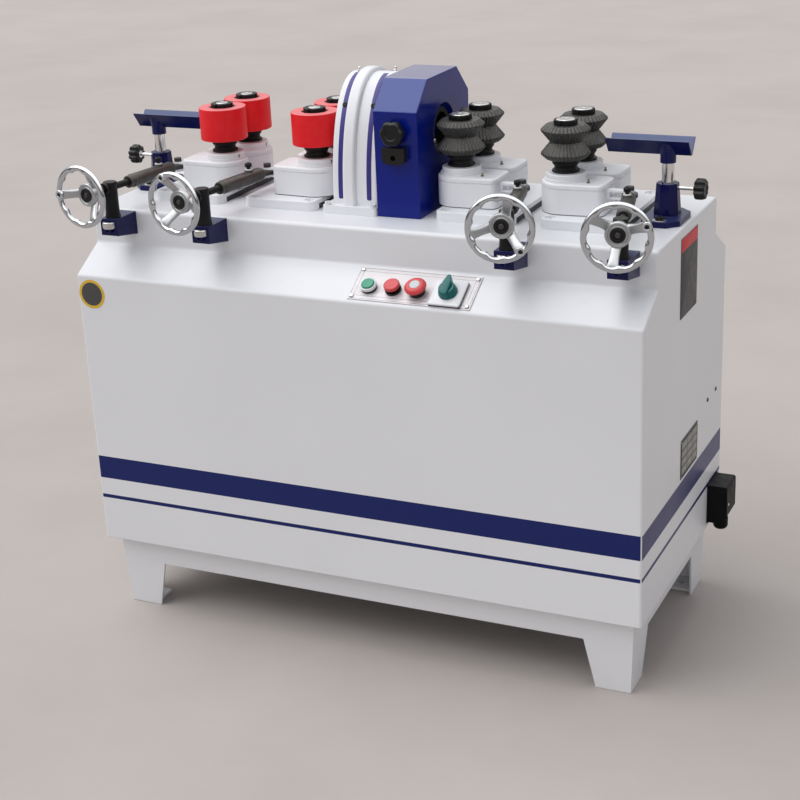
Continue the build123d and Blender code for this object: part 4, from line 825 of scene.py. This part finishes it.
def lobedKnob(radius, height, lobes, depth):
    # r = R f(s) (1 - d ((1 - cos n a) / 2)^1.4), with f the rounded side and a dished top
    corners = [(0, 0), (0.8, 0), (1, 0.14), (1, 0.8), (0.86, 1), (0.52, 0.97), (0.44, 0.9), (0, 0.9)]
    s = softened(corners, [0, 0.06, 0.12, 0.16, 0.1, 0.06, 0.04, 0], 7)
    a = circle(144)[None]
    f, z = s[:, :1], s[:, 1:]
    dent = depth * ((1 - np.cos(lobes * a)) / 2) ** 1.4 * np.clip((f - 0.45) / 0.3, 0, 1)
    return aroundZ(radius * f * (1 - dent), z * height, a), False, True


hoodKnobAt = (knob["hoodX"], place["feedY"] - knob["hoodOut"], place["feedZ"] + knob["hoodUp"])
neck = lathe([(5, -4), (12, 0.3), (12, 4.5), (0, 4.5)], [0, 0.3, 0.3, 0], 40)
parts = [upright(lobedKnob(*knob["hood"]), 0, 0, knob["neck"]), neck]
parts = [placed(p, hoodKnobAt, (0, -1, 0), (1, 0, 0)) for p in parts]
makePiece("hood_grip", parts, "blackPlastic", "hood_latch", ["hood_knob"])
stud = lathe([(0, -37.5), (2.8, -37.5), (3.4, -36.5), (3.4, -1), (7, -0.8), (7, 0.5), (0, 0.5)],
             [0, 0.3, 0.3, 0.3, 0.3, 0.3, 0], 32)
for name, side in ends.items():
    shoulder, body = (knob["clampX"][side], place["feedY"], knob["clampZ"]), f"clamp_{name}"
    grip, pin = (placed(s, shoulder, (side, 0, 0), (0, 1, 0)) for s in (lobedKnob(*knob["clamp"]), stud))
    makePiece(f"clamp_grip_{name}", [grip], "blackPlastic", body, [f"clamp_knob_{name}"])
    makePiece(f"clamp_stud_{name}", [pin], "zincScrew", body)
washer = latheRing(drumLine(12, 0, 1.6, 7.4), 0.3)
for name, side in ends.items():
    washers = [upright(washer, knob["washerX"][side], y, knob["washerZ"]) for y in knob["washerY"]]
    makePiece(f"rest_washers_{name}", washers, "zincScrew")
print("knobs made")

# Control panel
deck = {"origin": (0, -229.5, 728.5), "normal": (0, -45, 77), "start": 47.5, "stop": 94.5, "emergency": 140.5,
        "selector": 201, "drop": 9.5, "left": 14, "right": 249, "half": 39, "switchHalf": 29.2, "stem": -15,
        "lines": ((2.6, 0.6), (9.5, 0.5)), "lineZ": (1.9, 2.03)}


def onDeck(surface, x=0, drop=0):
    # Stands on the sloped deck, a drop below its middle line
    normal = np.array(deck["normal"]) / hypot(*deck["normal"])
    uphill = np.cross(normal, (1, 0, 0))
    return placed(surface, np.array(deck["origin"]) + np.array([x, 0, 0]) - drop * uphill, normal, (1, 0, 0))


def makeControl(name, surfaces, material, spot, body="frame", hides=()):
    # A piece on the deck, where the plate has its control
    parts = [onDeck(s, deck[spot], deck["drop"]) for s in surfaces]
    makePiece(name, parts, material, body, hides)


def stemSurface(low, high):
    # Plain round stem under a cap
    return revolved(drumLine(5, low, high), 24)


def ribbedCap(radius, low, high, ribs=36, rib=0.5):
    # Wide cap with fine finger ribs: r = R - d (1 - cos n a) / 2 on its side
    corners = [(0, low), (0.86, low), (1, low + 1.2), (1, high - 1.6), (0.84, high), (0.5, high - 0.5),
               (0, high - 0.5)]
    s = softened(corners, [0, 0.02, 0.3, 0.5, 0.1, 0.1, 0], 7)
    a = circle(216)[None]
    f, z = s[:, :1], s[:, 1:]
    return aroundZ(radius * f - rib * (f > 0.97) * (1 - np.cos(ribs * a)) / 2, z, a), False, True


def gripSurface():
    # Pointed handle: its plan narrows to the tip, its top slopes down from the tip to the tail
    plan = softLoop([(-6, -18), (6, -18), (8, 7), (2.6, 23), (-2.6, 23), (-8, 7)], 1.6)
    points, u, v = pushed(plan, 9.4, 31.5, 1.2, (0, 3))
    slope, tip, tail, topFrom = 0.16, 14, -17, 20
    y, z = points[..., 1], points[..., 2]
    points[..., 2] = np.where(z > topFrom, z - slope * (tip - np.clip(y, tail, tip)), z)
    return points, u, v


def borderLine(inset, width):
    # Fine engraved line inside the plate's edge
    x0, x1, y = deck["left"] + inset, deck["right"] - inset, deck["half"] - inset
    outer = boxLoop(x0, x1, -y, y, 2)
    flat = np.stack([outer, outer + np.sign(outer.mean(0) - outer) * width])
    low, high = (np.concatenate([flat, np.full((*flat.shape[:2], 1), z)], -1) for z in deck["lineZ"])
    return np.stack([low[0], high[0], high[1], low[1]]), True, True


dished = lathe([(0, 7.6), (11.5, 7.6), (11.5, 15.2), (4.025, 14.7), (0, 14.7)], [0, 0.4, 1.4, 2.3, 0], 56, 8)
greenTop = [dished, stemSurface(deck["stem"], 8)]
makeControl("start_cap", greenTop, "greenCap", "start", "start", ["start_button"])
ring = latheRing([(11.9, 6.6), (15.1, 6.6), (15.1, 11.4), (14.2, 12.6), (12.6, 12.6), (11.9, 11.6)], 0.5, 64)
makeControl("start_ring", [ring], "whiteCap", "start")
redTop = [ribbedCap(14.5, 10.5, 18.5), stemSurface(deck["stem"], 11)]
makeControl("stop_cap", redTop, "redCap", "stop", "stop", ["stop_button"])
mushroom = lathe([(0, 12.6), (13, 12.6), (18.6, 13.4), (20, 15.6), (20, 18.4), (15, 22.6), (9.6, 23.1),
                  (9.4, 22.5), (0, 22.5)], [0, 0.5, 1.4, 1, 2.2, 2, 0.3, 0.2, 0], 72, 7)
stopTop = [mushroom, revolved(drumLine(10, 11.8, 13), 40), stemSurface(deck["stem"], 12)]
makeControl("emergency_cap", stopTop, "redCap", "emergency", "emergency", ["emergency_button"])
disc = lathe([(0, 22.2), (9.2, 22.2), (9.2, 23), (0, 23.2)], [0, 0, 0.3, 0], 56)
makeControl("emergency_disc", [disc], "paleDisc", "emergency", "emergency")
half = deck["switchHalf"]
square = boxLoop(-half, half, -half, half, 2.5)
makeControl("selector_plate", [pushed(square, 5, 9.25, 0.7)], "whiteCap", "selector")
skirt = lathe([(0, 9.4), (17.6, 9.4), (17.4, 13), (14.2, 24), (0, 24)], [0, 0.4, 1.2, 2, 0], 56)
handle = [gripSurface(), skirt, stemSurface(1.2, 10)]
makeControl("selector_handle", handle, "tealCap", "selector", "selector", ["selector_knob"])
makePiece("plate_lines", [onDeck(borderLine(*line)) for line in deck["lines"]], "darkLine")
print("control panel made")

# Headstock strips, nipples and small fittings
head = {"strips": (-69, -11.6), "half": 4.75, "corner": 2.5, "rise": 0.7, "archHalf": 111, "archRise": 232,
        "archFoot": 830, "power": 2.2, "foot": 846, "dot": -74, "nipples": ((-69, -8), (-11.6, 24))}


def archPoint(y):
    # On the crown |y / a|^n + |z / h|^n = 1, y off the stock path: its point and its outward normal
    a, h, n = head["archHalf"], head["archRise"], head["power"]
    u = np.abs(y) / a
    w = (1 - u ** n) ** (1 / n)
    out = np.stack([np.sign(y) * u ** (n - 1) / a, w ** (n - 1) / h], -1)
    out /= np.linalg.norm(out, axis=-1, keepdims=True)
    return np.stack([place["feedY"] + y, head["archFoot"] + h * w], -1), out


def stripSurface(x):
    # Ribbon over the crown from foot to foot: P(y) + lift N(y), rounded at both ends
    a, h, n = head["archHalf"], head["archRise"], head["power"]
    edge = a * (1 - ((head["foot"] - head["archFoot"]) / h) ** n) ** (1 / n)
    foot, top = [0, 0.001, 0.002, 0.003, 0.006], [0.994, 0.997, 0.998, 0.999, 1]
    t = np.concatenate([foot, np.linspace(0.01, 0.99, 90), top])
    line, out = archPoint(np.sign(t - 0.5) * edge * (1 - (1 - np.abs(2 * t - 1)) ** 2) ** 0.5)
    run = np.concatenate([[0], np.cumsum(np.linalg.norm(np.diff(line, axis=0), axis=1))])
    fromEnd = np.minimum(run, run[-1] - run) / head["corner"]
    half = head["half"] - head["corner"] * (1 - np.sqrt(1 - np.clip(1 - fromEnd, 0, 1) ** 2))
    section = np.array([[-1, -0.5], [-1, 0.6], [-0.86, 1], [0.86, 1], [1, 0.6], [1, -0.5]])
    lifted = line[:, None] + head["rise"] * section[None, :, 1:] * out[:, None]
    return np.concatenate([(x + half[:, None] * section[None, :, 0])[..., None], lifted], -1), False, True


def onArch(surface, x, y, lift=0):
    # Stands square on the crown
    line, out = archPoint(np.array(float(y)))
    up = np.array([0, *out])
    return placed(surface, np.array([x, *line]) + up * lift, up, (1, 0, 0))


def screwHead(r, height):
    # Screw's head, in shares of its radius and height: a domed rim and a round recess, turned about Z
    corners = [(r, -1), (r, 0.4 * height), (0.7 * r, height), (0.4 * r, height), (0.36 * r, 0.45 * height),
               (0, 0.45 * height)]
    return lathe(corners, [0, 0.3 * height, 0.3 * height, 0.1, 0.1, 0], 36)


def nippleSurface(scale=1):
    # Grease nipple: hexagon foot seen as a ring, slim neck and a ball
    corners = [(0, -1), (3.6, -1), (3.6, 3), (1.7, 3.4), (1.7, 5.2), (2.5, 6.4), (2.5, 7.6), (1.2, 8.8),
               (0, 8.9)]
    return lathe(np.array(corners) * scale, [0, 0, 0.3, 0.3, 0.4, 0.5, 0.5, 0.4, 0], 24)


makePiece("headstock_strips", [stripSurface(x) for x in head["strips"]], "stripEnamel")
dots = [onArch(screwHead(5.2, 2.6), x, head["dot"], 0.6) for x in head["strips"]]
makePiece("strip_screws", dots, "blackPlastic")
nipples = [onArch(nippleSurface(), x, y, 0.4) for x, y in head["nipples"]]
makePiece("headstock_nipples", nipples, "zincScrew")
boss = {"radius": 35.5, "top": 893.3, "slot": (1.2, 3.3), "slotZ": 901, "angle": {"front": -15, "rear": 2},
        "nippleOut": 48, "nippleDrop": 20, "nippleScale": 0.8}


def bossSlot(angle):
    # Upright slot of a set screw, on the side of the boss
    wide, tall = boss["slot"]
    outline = boxLoop(-wide, wide, -tall, tall, 0.9)
    out = (cos(radians(angle)), sin(radians(angle)), 0)
    return placed(pushed(outline, -0.6, 0.35, 0.2), np.array(out) * boss["radius"], out, (-out[1], out[0], 0))


for tag, side, row, x, y in seats():
    if side < 0:
        slot = upright(bossSlot(boss["angle"][row]), x, y, boss["slotZ"])
        makePiece(f"boss_slot_{tag}", [slot], "blackPlastic", f"box_{tag}")
    else:
        nipple = nippleSurface(boss["nippleScale"])
        nipple = upright(nipple, x + boss["nippleOut"], y - boss["nippleDrop"], boss["top"])
        makePiece(f"box_nipple_{tag}", [nipple], "brassNipple", f"box_{tag}")
print("headstock fittings made")

# Plates, sticker and screws on the walls
wall = {"dark": ((-52, 55), (655, 802)), "header": ((-51, 54), (777, 801)), "grey": ((-30, 84), (339, 416)),
        "rivetIn": 4, "screws": ((216, 431), (156, 430)), "cells": (3, 4), "margin": (5, 6),
        "gap": (1.2, 1.4), "sticker": (-528.6, 670), "inletScrew": (600, 184, 204),
        "hoodScrew": (94, -35, 948)}


def facingEnd(surface, origin):
    # Local z points out of the infeed end, local x runs along Y
    return placed(surface, origin, (1, 0, 0), (0, 1, 0))


def wallPlate(limits, thick, low=0, corner=2):
    # Thin plate on the end wall, drawn in Y and Z
    outline = boxLoop(*limits[0], *limits[1], corner)
    return facingEnd(pushed(outline, low, thick, 0.25), (place["wallX"], 0, 0))


def onWall(surface, y, z):
    # Stands on the end wall at Y and Z
    return facingEnd(surface, (place["wallX"], y, z))


makePiece("wall_plate", [wallPlate(wall["dark"], 0.9)], "plateDark")
makePiece("wall_plate_header", [wallPlate(wall["header"], 1.15, 0.4)], "plateRed")
makePiece("data_plate", [wallPlate(wall["grey"], 0.9)], "plateDark")
(y0, y1), (z0, z1) = wall["grey"]
(columnCount, lineCount), (marginY, marginZ), (gapY, gapZ) = wall["cells"], wall["margin"], wall["gap"]
stepY, stepZ = (y1 - y0 - 2 * marginY) / columnCount, (z1 - z0 - 2 * marginZ) / lineCount
cells = []
for i in range(columnCount):
    for j in range(lineCount):
        y, z = y0 + marginY + i * stepY, z0 + marginZ + j * stepZ
        cells.append(wallPlate(((y + gapY, y + stepY - gapY), (z + gapZ, z + stepZ - gapZ)), 1.05, 0.5, 0.8))
makePiece("data_plate_cells", cells, "plateGrey")
rivetY, rivetZ = ((low + wall["rivetIn"], high - wall["rivetIn"]) for low, high in wall["grey"])
rivets = [onWall(screwHead(2.2, 1.2), y, z) for y in rivetY for z in rivetZ]
makePiece("wall_rivets", rivets, "zincScrew")
screws = [onWall(screwHead(4.4, 1.8), y, z) for y, z in wall["screws"]]
makePiece("wall_screws", screws, "gunmetal")
front = (wall["sticker"][0], place["frontY"], wall["sticker"][1])
disc = lathe(drumLine(23.2, 0, 0.5), [0, 0, 0.2, 0], 72)
edge = latheRing(drumLine(28.5, -0.2, 0.5, 23), 0.15, 72)
disc, edge = (placed(s, front, (0, -1, 0), (1, 0, 0)) for s in (disc, edge))
makePiece("sticker_disc", [disc], "plateDark")
makePiece("sticker_ring", [edge], "yellowPrint")
makePiece("inlet_screw", [facingEnd(screwHead(2.6, 1.4), wall["inletScrew"])], "whiteCap")
makePiece("hood_screw", [facingEnd(screwHead(3.6, 2), wall["hoodScrew"])], "zincScrew",
          "hood")
print("wall fittings made")

# Floor, light and camera
ground = {"size": 30, "z": -0.0005, "pale": (0.5, 0.455, 0.43, 1), "dark": (0.46, 0.415, 0.39, 1),
          "rough": 0.85}
bpy.ops.mesh.primitive_plane_add(size=ground["size"], location=(0, 0, ground["z"]))
floor = bpy.context.object
floor.name = "floor"
concrete = bpy.data.materials.new("paleConcrete")
concrete.use_nodes = True
tree = concrete.node_tree
sockets = tree.nodes["Principled BSDF"].inputs
cloud = ramp(noiseOn(coordinate(tree), 1.3, 6, 0.6), 0.35, 0.7)
feed(mixColor(cloud, ground["pale"], ground["dark"]), sockets["Base Color"])
sockets["Roughness"].default_value = ground["rough"]
floor.data.materials.append(concrete)

light = {"key": 1.95, "keyFrom": (-0.48, -0.22, 0.85), "spread": 70, "world": 0.56,
         "sky": ((0.8, 0.78, 0.76, 1), (0.95, 0.98, 1.04, 1)), "skyRise": (0, 0.8),
         "backdrop": ((0.22, 0.216, 0.212, 1), (3.3, 3.27, 3.23, 1)), "backdropRise": (0.04, 0.62)}
world = bpy.data.worlds.new("studio")
bpy.context.scene.world = world
world.use_nodes = True
tree = world.node_tree
background = tree.nodes["Background"]
height = axes(coordinate(tree, "Generated"))[2]
sky, backdrop = (mixColor(ramp(height, *light[f"{key}Rise"]), *light[key]) for key in ("sky", "backdrop"))
seen = addNode(tree, "LightPath").outputs
direct = either(seen["Is Camera Ray"], seen["Is Glossy Ray"])
direct = either(direct, seen["Is Transmission Ray"])
feed(mixColor(direct, sky, backdrop), background.inputs["Color"])
background.inputs["Strength"].default_value = light["world"]

key = bpy.data.lights.new("softKey", "SUN")
key.energy = light["key"]
key.angle = radians(light["spread"])
keyHolder = addObject("softKey", key)
keyHolder.rotation_mode = "QUATERNION"
keyHolder.rotation_quaternion = Vector(light["keyFrom"]).to_track_quat("Z", "Y")

shot = {"location": (1.3018, -2.7653, 1.59), "yaw": 25.482, "pitch": 20.953, "roll": 2.607, "focal": 1661.1,
        "pixels": 800, "sensor": 36}
yaw, pitch, roll = (radians(shot[k]) for k in ("yaw", "pitch", "roll"))
forward = np.array([-sin(yaw) * cos(pitch), cos(yaw) * cos(pitch), -sin(pitch)])
right = np.cross(forward, (0, 0, 1))
right /= np.linalg.norm(right)
down = np.cross(forward, right)
right, down = cos(roll) * right + sin(roll) * down, -sin(roll) * right + cos(roll) * down
camera = bpy.data.cameras.new("camera")
camera.sensor_width = shot["sensor"]
camera.lens = shot["focal"] * shot["sensor"] / shot["pixels"]
cameraHolder = addObject("camera", camera)
turn = Matrix(np.stack([right, -down, -forward], -1).tolist()).to_4x4()
cameraHolder.matrix_world = Matrix.Translation(shot["location"]) @ turn
bpy.context.scene.camera = cameraHolder
bpy.context.scene.view_settings.view_transform = "Standard"
